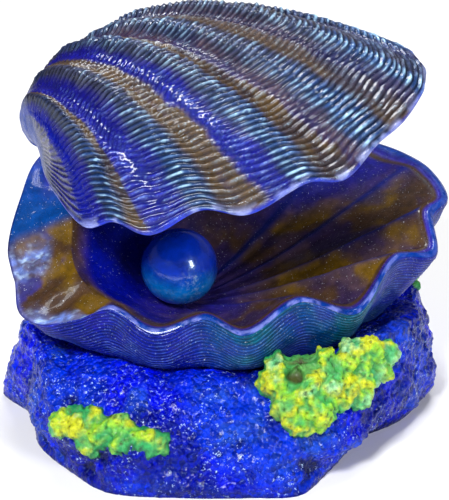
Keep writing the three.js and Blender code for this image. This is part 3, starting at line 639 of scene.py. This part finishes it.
def upper_paint(points, phase, ridge, reach):
    """Violet rising slopes, crests with painted highlight on their ridges, and ochre falling slopes;
    painted shade in the ridge gaps; blue at the beak and behind.
    """
    u = (phase + 0.10 * fractal(points, 7, 5)) % 2
    patch = fractal(points, 12, 9)
    violet = smooth(u, -0.1, 0.12) * (1 - smooth(u, 0.66, 0.9))
    narrow = smooth(u, 0.28, 0.42) * (1 - smooth(u, 0.62, 0.85))
    far = smooth(phase, 3.2, 4.2)
    violet = violet * (1 - far) + narrow * far * (1 - 0.85 * smooth(phase, 4.8, 6.8))
    steel = smooth(u, 0.6, 0.85) * (1 - smooth(u, 1.2, 1.75))
    steel = np.maximum(steel, 0.5 * smooth(phase, 7.2, 9.5))
    away = np.linalg.norm(points - BEAK, axis=-1)
    colour = blend(filled(OCHRE, points), BROWN, smooth(patch, -0.1, 0.6))
    colour = blend(colour, STEEL, 0.08 + 0.8 * steel * (1 - 0.45 * smooth(reach, 20, 60)))
    colour = blend(colour, VIOLET, np.maximum(violet, 1 - smooth(phase, 0.25, 0.6)))
    colour = blend(colour, VIOLET, smooth(phase, 18.6, 19.2))
    back = smooth(phase, 11.5, 13.0) * (1 - smooth(phase, 18.4, 19.1))
    colour = blend(colour, BLUE, np.maximum(0.75 * back, 1 - smooth(away, 12, 24)))
    # Painted highlight: pale cyan along the ridge tops, strongest on the crests and near the rim.
    frost_and_highlight = smooth(u, 0.68, 0.9) * (1 - smooth(u, 1.1, 1.6))
    near_rim = 1 - smooth(reach, 12, 50)
    ridge_highlight = (0.16 + 0.8 * frost_and_highlight * (0.45 + 0.55 * near_rim)) * smooth(ridge, 0.55, 0.9)
    ridge_highlight = ridge_highlight * (0.15 + 0.85 * smooth(fractal(points, 2.4, 31), -0.25, 0.35)) * smooth(phase, 0.5, 1.1)
    # Painted shade: darker in the gaps between the growth ridges, darkest where the paint is steel or
    # violet.
    gap = 0.09 + 0.28 * (1 - smooth(steel + violet, 0.0, 0.5))[..., None]
    colour = colour * (gap + (1.0 - gap) * np.clip(ridge, 0, 1)[..., None] ** 0.85)
    # Painted shade: deeper violet in the ridge gaps of the violet bands.
    colour = blend(colour, VIOLET * 0.6, 0.6 * violet * (1 - smooth(ridge, 0.1, 0.5)))
    colour = blend(colour, DEEP, 0.8 * (1 - smooth(phase, 0.2, 0.9)))
    colour = blend(colour, BLUE, (1 - smooth(away, 12, 24)) * 0.9)
    colour = blend(colour, HIGHLIGHT_CYAN, ridge_highlight * smooth(away, 16, 30))
    band = 1 - smooth(reach, 0.2, 1.8 + 0.8 * fractal(points, 9, 34))
    colour = blend(colour, LIP, band)
    crust = (1 - smooth(reach, 0.5, 4.0)) * smooth(fractal(points, 6, 33), 0.0, 0.45)
    return blend(colour, (0.40, 0.46, 0.88), 0.6 * crust * (1 - 0.6 * smooth(phase, 7, 9)))


def inward(points, share=1.0):
    """The cast wall's other face: drawn in towards the middle of the rim."""
    away = points - UPPER_MIDDLE
    reach = np.linalg.norm(away, axis=-1, keepdims=True)
    return UPPER_MIDDLE + away * np.maximum(0.5, 1 - share * WALL / reach)


def upper_valve():
    rim = closed_spline(UPPER_RIM, UPPER_STEPS)
    phase_row = phases(len(UPPER_RIM), UPPER_STEPS)
    ages = upper_ages()
    age, phase = np.meshgrid(ages, phase_row, indexing="ij")
    base = upper_points(phase, age, rim)
    steps = np.linalg.norm(np.diff(base, axis=0), axis=-1)
    reach = np.concatenate([np.zeros((1, len(rim))), np.cumsum(steps, 0)])
    ridge = upper_ridges(phase, reach)
    away = np.linalg.norm(base - BEAK, axis=-1)
    quiet = smooth(away, 14, 30) * (0.45 + 0.55 * smooth(away, 30, 55))
    quiet = quiet * (1 - 0.35 * smooth(phase, 14.5, 16) * (1 - smooth(phase, 18, 19)))
    tall = RIDGE_HEIGHT - RIDGE_EASING * smooth(phase, 5.5, 8)
    height = tall * ridge * quiet * smooth(reach, 0.0, 1.2)
    lumps = 0.4 * fractal(base, 8, 14, 3) * smooth(reach, 0, 2)
    outer = base + grid_normals(base, UPPER_MIDDLE) * (height + lumps)[..., None]
    mask = np.clip(ridge * quiet, 0, 1)
    shares = (0.1, 0.26, 0.42, 0.58, 0.74, 0.9)
    lip = np.array([inward(outer[0], t) - UPWARD * 0.8 * math.sin(math.pi * t) for t in shares])
    inner_ages, inner_phase = np.meshgrid(np.linspace(0, 1, 30), phase_row, indexing="ij")
    inner = inward(upper_points(inner_phase, inner_ages, rim))
    inner = inner + 0.35 * fractal(inner, 9, 21, 3)[..., None] * (UPPER_MIDDLE - inner) / 60
    inside = blend(filled(DEEP, inner), BROWN, 0.4 * smooth(fractal(inner, 14, 22), 0, 0.6))
    lip_paint = blend(filled(LIP, lip), DEEP, smooth(np.array(shares), 0.3, 1)[:, None])
    rows = np.concatenate([inner[::-1], lip[::-1], outer])
    paint = np.concatenate([inside[::-1], lip_paint[::-1], upper_paint(base, phase, mask, reach)])
    blank = np.zeros((len(inner) + len(lip), len(rim)))
    mesh = grid_mesh("upper_shell", rows, rows[0].mean(0), rows[-1].mean(0))
    paint = np.vstack([paint.reshape(-1, 3), DEEP, BLUE])
    shaded = 0.25 + 0.5 * np.maximum(1 - smooth(phase, 0.6, 1.3), 1 - smooth(away, 14, 30))
    dull = np.append(np.concatenate([blank + 1, shaded]), [1, 0])
    paint_mesh(mesh, paint, np.append(np.concatenate([blank, mask]), [0, 0]), dull)
    return add_object("upper_shell", mesh, SHELL, LID, ["upper_valve"])


# ---------------------------------------------------------------- lower valve
LOWER_STEPS = 16
GROWTH_PITCH = 1.15
WALL_BLUE, WALL_TEAL = (0.0, 0.004, 0.28), (0.0, 0.10, 0.16)
LIP_ROWS_KEPT = 12  # rows of the lip that the hinge pocket leaves alone


def lower_wall(level, rim, foot):
    quarter = level * math.pi / 2
    around = foot[:, 2]
    out = rim[:, :2] - FLOOR[:2]
    out /= np.linalg.norm(out, axis=1, keepdims=True)
    swell = 0.12 * around * (rim[:, 2] - SEAT_Z) * math.sin(math.pi * level)
    side = level + (math.sin(quarter) - level) * around
    rise = level + (1 - math.cos(quarter) - level) * around
    xy = foot[:, :2] + (rim[:, :2] - foot[:, :2]) * side[:, None] + out * swell[:, None]
    return np.column_stack([xy, SEAT_Z + (rim[:, 2] - SEAT_Z) * rise])


def lower_outer(rim, foot, phase):
    """The outer wall, its paint and its growth lines, which run parallel to the rim."""
    levels = np.linspace(0, 1, 112)
    wall = np.array([lower_wall(t, rim, foot) for t in levels])
    steps = np.linalg.norm(np.diff(wall, axis=0), axis=-1)
    depth = np.concatenate([np.cumsum(steps[::-1], 0)[::-1], np.zeros((1, len(rim)))])
    waver = 0.5 * value_noise(lane(phase * 1.7, depth / 6), 1.0, 41)
    turn = (depth / GROWTH_PITCH + waver) % 1
    line = smooth(turn, 0.0, 0.25) * (1 - turn) ** 0.8
    calm = (1 - smooth(levels, 0.965, 1.0))[:, None]
    relief = 0.34 * line + 0.5 * fractal(wall, 7, 44, 3) * smooth(levels, 0, 0.1)[:, None]
    front = (wall[..., 1] < 0) * smooth(wall[..., 0], -15, 10) * (1 - smooth(wall[..., 0], 45, 60))
    teal = front * (0.45 + 0.5 * smooth(fractal(wall, 11, 50), -0.3, 0.5))
    colour = blend(filled(WALL_BLUE, wall), WALL_TEAL, teal)
    colour = blend(colour, (0.03, 0.02, 0.50), 0.4 * smooth(fractal(wall, 8, 51), 0.0, 0.7))
    # Painted shade and highlight: darker in the grooves between the growth lines, and pale blue on their
    # crests.
    colour = colour * (0.35 + 0.85 * line[..., None])
    growth_highlight = smooth(fractal(wall, 5, 52), -0.35, 0.5) * (1 - 0.7 * (wall[..., 1] > 15))
    colour = blend(colour, (0.14, 0.34, 0.80), 0.5 * smooth(line, 0.6, 0.95) * growth_highlight)
    wall = wall + grid_normals(wall, FLOOR) * (relief * calm)[..., None]
    return wall, colour, line


def lower_lip(rim, crease, phase):
    """The rim's flat edge, which widens into the ear at the left."""
    ear = smooth(phase, 16.2, 17.4) * (1 - smooth(phase, 22.2, 22.9))
    shares = np.linspace(0, 1, 27)[1:]
    share = shares[:, None] + 0 * phase
    flat = rim * (1 - shares[:, None, None]) + crease * shares[:, None, None]
    crown = 0.9 * np.sin(np.pi * np.minimum(1, share * 1.6)) * (1 - ear)
    ribs = 0.9 * np.cos(2 * np.pi * (phase - 19.1) * 0.8) * np.sin(np.pi * share) ** 0.7 * ear
    lip = flat + crown[..., None] * np.array([0, 0, 1.0])
    lip = lip + ribs[..., None] * np.array([-0.25, -0.35, 0.9])
    frost_and_highlight = (1 - smooth(share + 0.12 * fractal(lip, 6, 65), 0.12, 0.42)) * smooth(phase, 19.8, 20.8)
    left = np.exp(-((phase - 18.7) ** 2) / 0.22) * (1 - smooth(share, 0.45, 0.75))
    frost_and_highlight = np.maximum(frost_and_highlight, left) * ear
    rough = 0.3 * fractal(lip, 5, 60, 3) + frost_and_highlight * 0.75 * fractal(lip, 2.4, 64, 3)
    lip = lip + (rough * np.sin(np.pi * share) ** 0.4)[..., None] * np.array([0, 0, 1.0])
    front = 1 - smooth(phase, 5.2, 6.6) * (1 - smooth(phase, 21.5, 22.3))
    # Painted highlight: broken pale lavender along the lip's outer edge, strongest at the front.
    pale = (1 - smooth(share, 0.15, 0.45)) * smooth(fractal(lip, 2.2, 61), -0.2, 0.3)
    colour = blend(filled(BLUE * 0.8, lip), (0.03, 0.02, 0.30), smooth(share, 0.3, 0.6))
    colour = blend(colour, LAVENDER, pale * (0.15 + 0.55 * front))
    colour = blend(colour, BROWN * 0.9, smooth(share, 0.6, 0.9) * (1 - ear))
    tone = blend(filled(OCHRE, lip), BROWN * 1.1, smooth(fractal(lip, 9, 62), -0.2, 0.4))
    tone = blend(tone, (0.02, 0.02, 0.22), 0.7 * smooth(fractal(lip, 7, 66), 0.1, 0.6))
    # Partly painted highlight: pale blue and near-white mottling over the ear's rough, frosted patches.
    mottled = frost_and_highlight * (0.35 + 0.65 * smooth(fractal(lip, 2.6, 63), -0.3, 0.3))
    tone = blend(tone, (0.16, 0.26, 0.72), mottled)
    tone = blend(tone, (0.45, 0.62, 0.90), mottled * smooth(fractal(lip, 1.6, 67), 0.15, 0.5))
    tone = blend(tone, (0.0, 0.05, 0.26), 1 - smooth(phase, 17.7, 18.15) + 0 * share)
    # Painted highlight: lavender along the ear's outer edge.
    tone = blend(tone, LAVENDER, (1 - smooth(share, 0.0, 0.09)) * 0.5 * smooth(phase, 18, 18.5))
    return lip, blend(colour, tone, ear + 0 * share), 0.3 * mottled


def lower_inside(crease, phase):
    """The bowl, with sharp raised lines that run in from the notches and fade."""
    depths = np.linspace(0, 1, 74)[1:-1]
    deep = depths[:, None] + 0 * phase
    drop = 0.35 * smooth(deep, 0, 1) + 0.65 * (1 - (1 - deep) ** 2)
    bowl = np.empty((len(depths), len(phase), 3))
    bowl[..., :2] = crease[:, :2] + (FLOOR[:2] - crease[:, :2]) * deep[..., None]
    bowl[..., 2] = crease[:, 2] + (FLOOR[2] - crease[:, 2]) * drop
    off = (phase + 1) % 2 - 1
    folds = smooth(phase, 1.0, 3.0) * (1 - smooth(phase, 13, 14.5))
    line = np.exp(-(off**2) / 0.05)
    fade = np.sin(np.pi * np.clip(deep * 1.12 + 0.02, 0, 1)) ** 0.8
    bowl[..., 2] += (1.7 * line - 0.5 + 0.7 * np.cos(np.pi * (phase + 1))) * folds * fade
    bowl[..., 2] += 0.3 * fractal(bowl, 8, 70, 4) * smooth(depths, 0, 0.06)[:, None]
    ochre = smooth(fractal(bowl, 11, 72), -0.1, 0.4)
    colour = blend(filled(BROWN * 0.95, bowl), OCHRE * 0.9, ochre)
    colour = blend(colour, (0.008, 0.006, 0.09), 0.55 * smooth(fractal(bowl, 10, 73), -0.2, 0.5))
    edge = np.exp(-((off - 0.12) ** 2) / 0.03) * folds
    colour = blend(colour, (0.002, 0.02, 0.20), 0.8 * edge + 0 * deep)
    # Dark blue towards the left and the back, and painted shade around the pearl.
    blue = (1 - smooth(bowl[..., 0], -34, 4)) * smooth(deep, 0.02, 0.2)
    blue = np.maximum(blue, 0.85 * smooth(bowl[..., 1], 18, 40))
    blue = np.maximum(blue, 0.5 * (1 - smooth(np.linalg.norm(bowl - PEARL_CENTRE, axis=-1), 16, 34)))
    return bowl, blend(colour, (0.0, 0.003, 0.26), blue), 0 * deep


def clear_of_shelf(points):
    """Points moved back out of the pocket that the hinge swings in."""
    h = to_hinge(points)
    side = 1 - smooth(np.abs(h[..., 0]), LEDGE["half"] + 0.5, LEDGE["half"] + 4)
    inside = side * (h[..., 2] > LEDGE["top"] - 3) * (h[..., 1] > -20)
    target = np.where(h[..., 1] < LEDGE["back"] + 0.3, LEDGE["back"] + 0.3, h[..., 1])
    h[..., 1] = h[..., 1] * (1 - inside) + target * inside
    return from_hinge(h)


def lower_valve():
    rim = closed_spline(LOWER_RIM, LOWER_STEPS)
    foot = closed_spline(LOWER_FOOT, LOWER_STEPS)
    crease = closed_spline(LOWER_CREASE, LOWER_STEPS)
    phase = phases(len(LOWER_RIM), LOWER_STEPS)
    bands = [lower_outer(rim, foot, phase), lower_lip(rim, crease, phase), lower_inside(crease, phase)]
    rows, paint, ridge = (np.concatenate(parts) for parts in zip(*bands))
    wall_rows = len(bands[0][0])
    rows[wall_rows + LIP_ROWS_KEPT :] = clear_of_shelf(rows[wall_rows + LIP_ROWS_KEPT :])
    mesh = grid_mesh("lower_shell", rows, np.array([FLOOR[0], FLOOR[1], SEAT_Z]), FLOOR)
    paint = np.vstack([paint.reshape(-1, 3), BLUE, DEEP])
    inside_rows = len(bands[2][0])
    ear = smooth(phase, 15.2, 16.2) * (1 - smooth(phase, 21.9, 22.6))
    dull = np.ones(rows.shape[:2])
    dull[:wall_rows] = 0.7
    dull[wall_rows:-inside_rows] = 0.35 + 0.6 * ear
    paint_mesh(mesh, paint, np.append(ridge, [0, 0]), np.append(dull, [0, 1]))
    return add_object("lower_shell", mesh, SHELL, BASE, ["lower_valve"])


# ---------------------------------------------------------------- hinge shelf and boss
BLOCK_SINK = 2.0  # how deep a block's end goes into the shell's wall


def block_mesh(name, low, high, steps):
    """A box between two corners, cut into small faces and rounded at its edges."""
    bm = bmesh.new()
    bmesh.ops.create_cube(bm, size=1)
    low, high = np.array(low, float), np.array(high, float)
    for v in bm.verts:
        v.co = Vector((low + high) / 2 + np.array(v.co) * (high - low))
    bmesh.ops.bevel(bm, geom=bm.edges[:], offset=1.6, segments=3, affect="EDGES", profile=0.5)
    bmesh.ops.subdivide_edges(bm, edges=bm.edges[:], cuts=steps, use_grid_fill=True)
    bmesh.ops.triangulate(bm, faces=[f for f in bm.faces if len(f.verts) > 4])
    mesh = bpy.data.meshes.new(name)
    bm.to_mesh(mesh)
    bm.free()
    mesh.shade_smooth()
    return mesh


def bonded_block(name, low, high, body, shell, direction):
    """A cast block in the hinge's frame that stops just inside the shell's wall."""
    mesh = block_mesh(name, low, high, 7)
    local = stored_points(mesh)
    flat = low[2] if direction > 0 else high[2]
    away = smooth(np.abs(local[:, 2] - flat), 0.5, 3)
    local = local + (away * 0.35 * fractal(local, 5, 90, 3))[:, None] * np.array([1, 1, 0])
    points = from_hinge(local)
    tree = tree_of(shell.data)
    up = Vector(UPWARD * direction)
    for i, p in enumerate(points):
        start = Vector(from_hinge(np.array([local[i, 0], local[i, 1], flat])))
        hit = tree.ray_cast(start, up)
        room = hit[3] + BLOCK_SINK if hit[0] else 4.0
        if (Vector(p) - start).dot(up) > room:
            points[i] = np.array(start + up * room)
    move_points(mesh, points)
    ob = add_object(name, mesh, SHELL, body)
    paint = blend(filled(DEEP, points), BLUE, 0.6 * smooth(fractal(points, 8, 91), -0.4, 0.5))
    paint_mesh(mesh, paint, 0, 1)
    return ob


# ---------------------------------------------------------------- rock
ROCK_STEPS = 33
ROCK_NOTCH = {"x": 50, "y": -42, "spread": 150, "depth": 4.5}
ROCK_BLUES = ((0.0, 0.002, 0.56), (0.0, 0.022, 0.50), (0.01, 0.06, 0.42), (0.0, 0.001, 0.17))


def rock_loop(level, loops, size=1.0):
    foot, belly, top = loops
    if level <= BELLY_LEVEL:
        part = max(0.0, level / BELLY_LEVEL)
        xy, z = foot + (belly - foot) * part, np.full(len(foot), part * BELLY_Z)
    else:
        part = (level - BELLY_LEVEL) / (1 - BELLY_LEVEL)
        xy = belly + (top[:, :2] - belly) * part**1.6
        z = BELLY_Z + (top[:, 2] - BELLY_Z) * part
    return np.column_stack([ROCK_MIDDLE + (xy - ROCK_MIDDLE) * size, z])


def below(points, tree, gap=0.35):
    """Points lowered where they would come up into a mesh that lies over them."""
    up = Vector((0, 0, 1))
    for p in points.reshape(-1, 3):
        if p[2] > 20:
            hit = tree.ray_cast(Vector((p[0], p[1], 12)), up)
            if hit[0] is not None and hit[0].z - gap < p[2]:
                p[2] = hit[0].z - gap
    return points


def rock_paint(points, hollow):
    base, clear, pale, dark = ROCK_BLUES
    colour = blend(filled(base, points), clear, smooth(fractal(points, 22, 120), -0.3, 0.5))
    colour = blend(colour, pale, 0.6 * smooth(fractal(points, 9, 121), 0.1, 0.7))
    colour = blend(colour, dark, 0.75 * smooth(fractal(points, 15, 122), -0.1, 0.45))
    # Painted shade: near black in the hollows between the lumps.
    colour = blend(colour, (0.0, 0.0, 0.05), 0.9 * hollow)
    # Painted shade: darker over the bottom 2.5 mm, where the rock meets the floor.
    return blend(colour, (0.0, 0.002, 0.2), 1 - smooth(points[..., 2], 0.0, 2.5))


def rock_base(shell):
    loops = [closed_spline(loop, ROCK_STEPS) for loop in (ROCK_FOOT, ROCK_BELLY, ROCK_TOP)]
    side = np.array([rock_loop(t, loops) for t in np.linspace(0, 1, 74)])
    shares = np.linspace(0, 1, 26)[1:-1] ** 1.4
    middle = np.array([*ROCK_MIDDLE, SEAT_Z - 0.3])
    top = side[-1] + (middle - side[-1]) * shares[:, None, None]
    top[..., 2] = side[-1][:, 2] + (middle[2] - side[-1][:, 2]) * smooth(shares, 0, 0.5)[:, None]
    outer = np.concatenate([side, top])
    normal = grid_normals(outer, np.array([*ROCK_MIDDLE, 5.0]))
    lumps = 2.2 * fractal(outer, 13, 101, 3) + 1.0 * fractal(outer, 5, 102, 3)
    grain, number = scattered(outer, 2.0, 104)
    grit = 0.75 * (1 - smooth(grain, 0.1, 0.75)) * (0.35 + 0.65 * number)
    free = smooth(outer[..., 2], 0.3, 4)
    push = lumps * free + grit * (0.3 + 0.7 * free) - 0.6
    # The second argument marks the hollows between lumps, which rock_paint darkens as painted shade.
    paint = rock_paint(outer, smooth(-lumps, 1.0, 2.4) * free)
    from_notch = (outer[..., 0] - ROCK_NOTCH["x"]) ** 2 + (outer[..., 1] - ROCK_NOTCH["y"]) ** 2
    notch = np.exp(-from_notch / ROCK_NOTCH["spread"])
    push = push - ROCK_NOTCH["depth"] * notch * (1 - smooth(outer[..., 2], 5, 11))
    outer = outer + normal * push[..., None] * np.array([1, 1, 0.9])
    outer[0, :, 2] = 0
    outer[..., 2] = np.maximum(outer[..., 2], 0)
    spot = np.hypot(outer[..., 0] - INLET["x"], outer[..., 2] - INLET["z"])
    flat = (1 - smooth(spot, INLET["spot"], INLET["spot"] + 2)) * (outer[..., 1] > 45)
    outer[..., 1] += (np.minimum(outer[..., 1], INLET["outer"]) - outer[..., 1]) * flat
    outer = below(outer, tree_of(shell.data))
    levels = np.linspace(0, ROCK_HOLLOW["top"], 14)
    hollow = np.array([rock_loop(t, loops, ROCK_HOLLOW["size"]) for t in levels])
    hollow += 0.5 * fractal(hollow, 9, 110, 3)[..., None] * np.array([1, 1, 0])
    near = np.hypot(hollow[..., 0] - INLET["x"], hollow[..., 2] - INLET["z"])
    flat = (1 - smooth(near, INLET["spot"], INLET["spot"] + 2)) * (hollow[..., 1] > 40)
    hollow[..., 1] += (INLET["inner"] - hollow[..., 1]) * flat
    ceiling = hollow[-1].mean(0)
    rows = np.concatenate([hollow[::-1], outer])
    inside = filled((0.0, 0.003, 0.12), hollow)
    mesh = grid_mesh("rock", rows, ceiling, outer[-1].mean(0))
    paint = np.vstack([np.concatenate([inside, paint]).reshape(-1, 3), DEEP, DEEP])
    paint_mesh(mesh, paint, 0)
    return add_object("rock", mesh, ROCK, BASE, ["rock_base"])


# ---------------------------------------------------------------- coral
YELLOW = np.array((0.62, 0.68, 0.002))
LIME = np.array((0.26, 0.64, 0.02))
GREEN = np.array((0.0, 0.36, 0.10))
MINT = np.array((0.28, 0.72, 0.38))
# Dark brown for the painted shade in the coral's pits and hollows.
SHADE_BROWN = np.array((0.10, 0.07, 0.008))
CORAL_VOXEL = 0.62


def coral(name, seed, green=0.0):
    """Lumps joined by a voxel remesh, then knobbed, pitted and dipped; green away from the crests."""
    bm = bmesh.new()
    for x, y, z, radius in CORALS[name]:
        lump = bmesh.ops.create_icosphere(bm, subdivisions=3, radius=radius * 0.97)
        bmesh.ops.translate(bm, verts=lump["verts"], vec=(x, y, z))
    mesh = bpy.data.meshes.new(name)
    bm.to_mesh(mesh)
    bm.free()
    ob = bpy.data.objects.new(name, mesh)
    bpy.context.scene.collection.objects.link(ob)
    voxel = {"voxel_size": CORAL_VOXEL}
    mesh = modified(ob, ("REMESH", voxel), ("SMOOTH", {"factor": 0.8, "iterations": 4}))
    mesh.name = name
    points, normal = stored_points(mesh), normals_of(mesh)
    knobs, number = scattered(points, 4.0, seed)
    small, _ = scattered(points, 2.1, seed + 11)
    lumps = 0.9 * fractal(points, 6, seed + 1, 3) + 1.0 * (1 - smooth(knobs, 0.1, 0.8)) - 0.6
    lumps = lumps + 0.9 * (1 - smooth(small, 0.1, 0.8)) - 0.2
    pits, _ = scattered(points, 2.6, seed + 5)
    pit = (1 - smooth(pits, 0.12, 0.3)) * smooth(fractal(points, 9, seed + 6), -0.2, 0.2)
    lumps = lumps + 0.35 * fractal(points, 1.8, seed + 8, 3) - 0.9 * pit
    dark = 0.8 * pit
    for x, y, z, radius, depth in CORAL_HOLLOWS[name]:
        near = 1 - smooth(np.linalg.norm(points - (x, y, z), axis=1), radius * 0.35, radius * 1.3)
        lumps = lumps - depth * near
        dark = np.maximum(dark, smooth(near, 0.25, 0.9))
    # Partly painted highlight: the normal's upward part adds yellow on tops that face up.
    height = lumps + 0.6 * normal[:, 2]
    grown = points + normal * lumps[:, None]
    edge, trees = np.zeros(len(points)), [tree_of(ob.data) for ob in (ROCK_PIECE, LOWER_PIECE)]
    for i, p in enumerate(grown):
        edge[i] = min(tree.find_nearest(Vector(p))[3] for tree in trees)
    low = 1 - smooth(edge + 1.6 * fractal(points, 4, seed + 9), 1.0, 4.0)
    limed = smooth(fractal(points, 5, seed + 2), -0.3, 0.4)
    colour = blend(filled(YELLOW, points), LIME, limed)
    colour = blend(colour, MINT, 0.8 * smooth(fractal(points, 8, seed + 3), 0.25, 0.6))
    colour = blend(colour, YELLOW, 0.8 * smooth(height, 0.3, 1.8) * (1 - green))
    colour = blend(colour, GREEN, np.maximum(0.95 * low, 0.8 * (1 - smooth(lumps, -0.9, 0.1))))
    colour = blend(colour, GREEN, green * (0.4 + 0.5 * smooth(fractal(points, 5, seed + 4), -0.4, 0.3)))
    # Painted shade: dark brown in the pits and hollows.
    colour = blend(colour, SHADE_BROWN * 0.7, 0.9 * dark)
    # Painted shade: dark teal where the coral meets the rock and the shell.
    colour = blend(colour, (0.0, 0.05, 0.05), 0.8 * (1 - smooth(edge, 0.1, 0.9)))
    move_points(mesh, grown)
    paint_mesh(mesh, colour, number)
    return add_object(f"{name}_crust", mesh, CORAL, BASE, [name])


# ---------------------------------------------------------------- pearl
PEARL_BELOW, PEARL_ABOVE = (0.0, 0.20, 0.62), (0.0, 0.035, 0.56)


def pearl():
    bm = bmesh.new()
    bmesh.ops.create_icosphere(bm, subdivisions=6, radius=PEARL_R - 0.1)
    mesh = bpy.data.meshes.new("pearl_ball")
    bm.to_mesh(mesh)
    bm.free()
    mesh.shade_smooth()
    ball = stored_points(mesh)
    ball *= 1 + 0.003 * fractal(ball, 9, 130, 3)[:, None]
    move_points(mesh, ball + PEARL_CENTRE)
    up = ball[:, 2] / PEARL_R + 0.25 * fractal(ball, 8, 131)
    colour = blend(filled(PEARL_BELOW, ball), PEARL_ABOVE, smooth(up, -0.45, 0.35))
    # Painted highlight: a tall pale streak on the front right of the ball.
    highlight_streak = np.exp(-((ball[:, 0] - 4.5) ** 2) / 7 - ((ball[:, 2] - 1.0) ** 2) / 18) * (ball[:, 1] < 0)
    paint_mesh(mesh, colour, 0.25 * (1 - smooth(up, -0.6, 0.1)) + highlight_streak, 0)
    return add_object("pearl_ball", mesh, PEARL, BASE, ["pearl"])


UPPER_PIECE, LOWER_PIECE = upper_valve(), lower_valve()
bonded_block(
    "lower_shelf",
    (-LEDGE["half"], LEDGE["front"], LEDGE["top"] - 50),
    (LEDGE["half"], LEDGE["back"] + 1.5, LEDGE["top"]),
    BASE, LOWER_PIECE, -1,
)
bonded_block(
    "upper_boss",
    (-BOSS["half"], BOSS["front"], BOSS["bottom"]),
    (BOSS["half"], BOSS["back"], BOSS["bottom"] + 40),
    LID, UPPER_PIECE, 1,
)
ROCK_PIECE = rock_base(LOWER_PIECE)
coral("coral_left", 200)
coral("coral_right", 230)
coral("coral_rear", 260, green=0.8)
pearl()

# ---------------------------------------------------------------- carried-over hinge and air line
CARRIED = {
    BRACKET: ("hinge_base", "hinge_arm", "hose_saddle"),
    STEEL_LOOK: ("hinge_pin", "pin_clip", "pearl_peg", "hinge_screw_left", "hinge_screw_right"),
    CLEAR: (
        "hinge_washer_left", "hinge_washer_right", "inlet_fitting", "inlet_nut", "air_hose",
        "stone_stem",
    ),
    RUBBER: ("inlet_seal", "stone_sleeve"),
    STONE: ("air_stone",),
}
for look, names in CARRIED.items():
    for name in names:
        for slot in bpy.data.objects[name].material_slots:
            slot.material = look


# ---------------------------------------------------------------- stage
def stage():
    mesh = bpy.data.meshes.new("floor")
    half = 4.0
    corners = [(-half, -half, 0), (half, -half, 0), (half, half, 0), (-half, half, 0)]
    mesh.from_pydata(corners, [], [(0, 1, 2, 3)])
    floor = bpy.data.objects.new("floor", mesh)
    bpy.context.scene.collection.objects.link(floor)
    m = Nodes("floor")
    m.set(Base_Color=(0.88, 0.88, 0.88, 1), Roughness=0.7)
    mesh.materials.append(m.material)
    world = bpy.data.worlds.new("studio")
    world.use_nodes = True
    background = world.node_tree.nodes["Background"]
    background.inputs["Color"].default_value = (1.0, 1.0, 1.0, 1)
    background.inputs["Strength"].default_value = 0.11
    bpy.context.scene.world = world
    add_area("key", (-0.28, -0.50, 0.72), (0.22, 0.22), 8)
    add_area("fill", (0.50, -0.55, 0.45), (0.16, 0.30), 3)
    add_area("top", (0.10, 0.30, 0.80), (0.4, 0.2), 6)
    bpy.context.scene.view_settings.view_transform = "Standard"


stage()
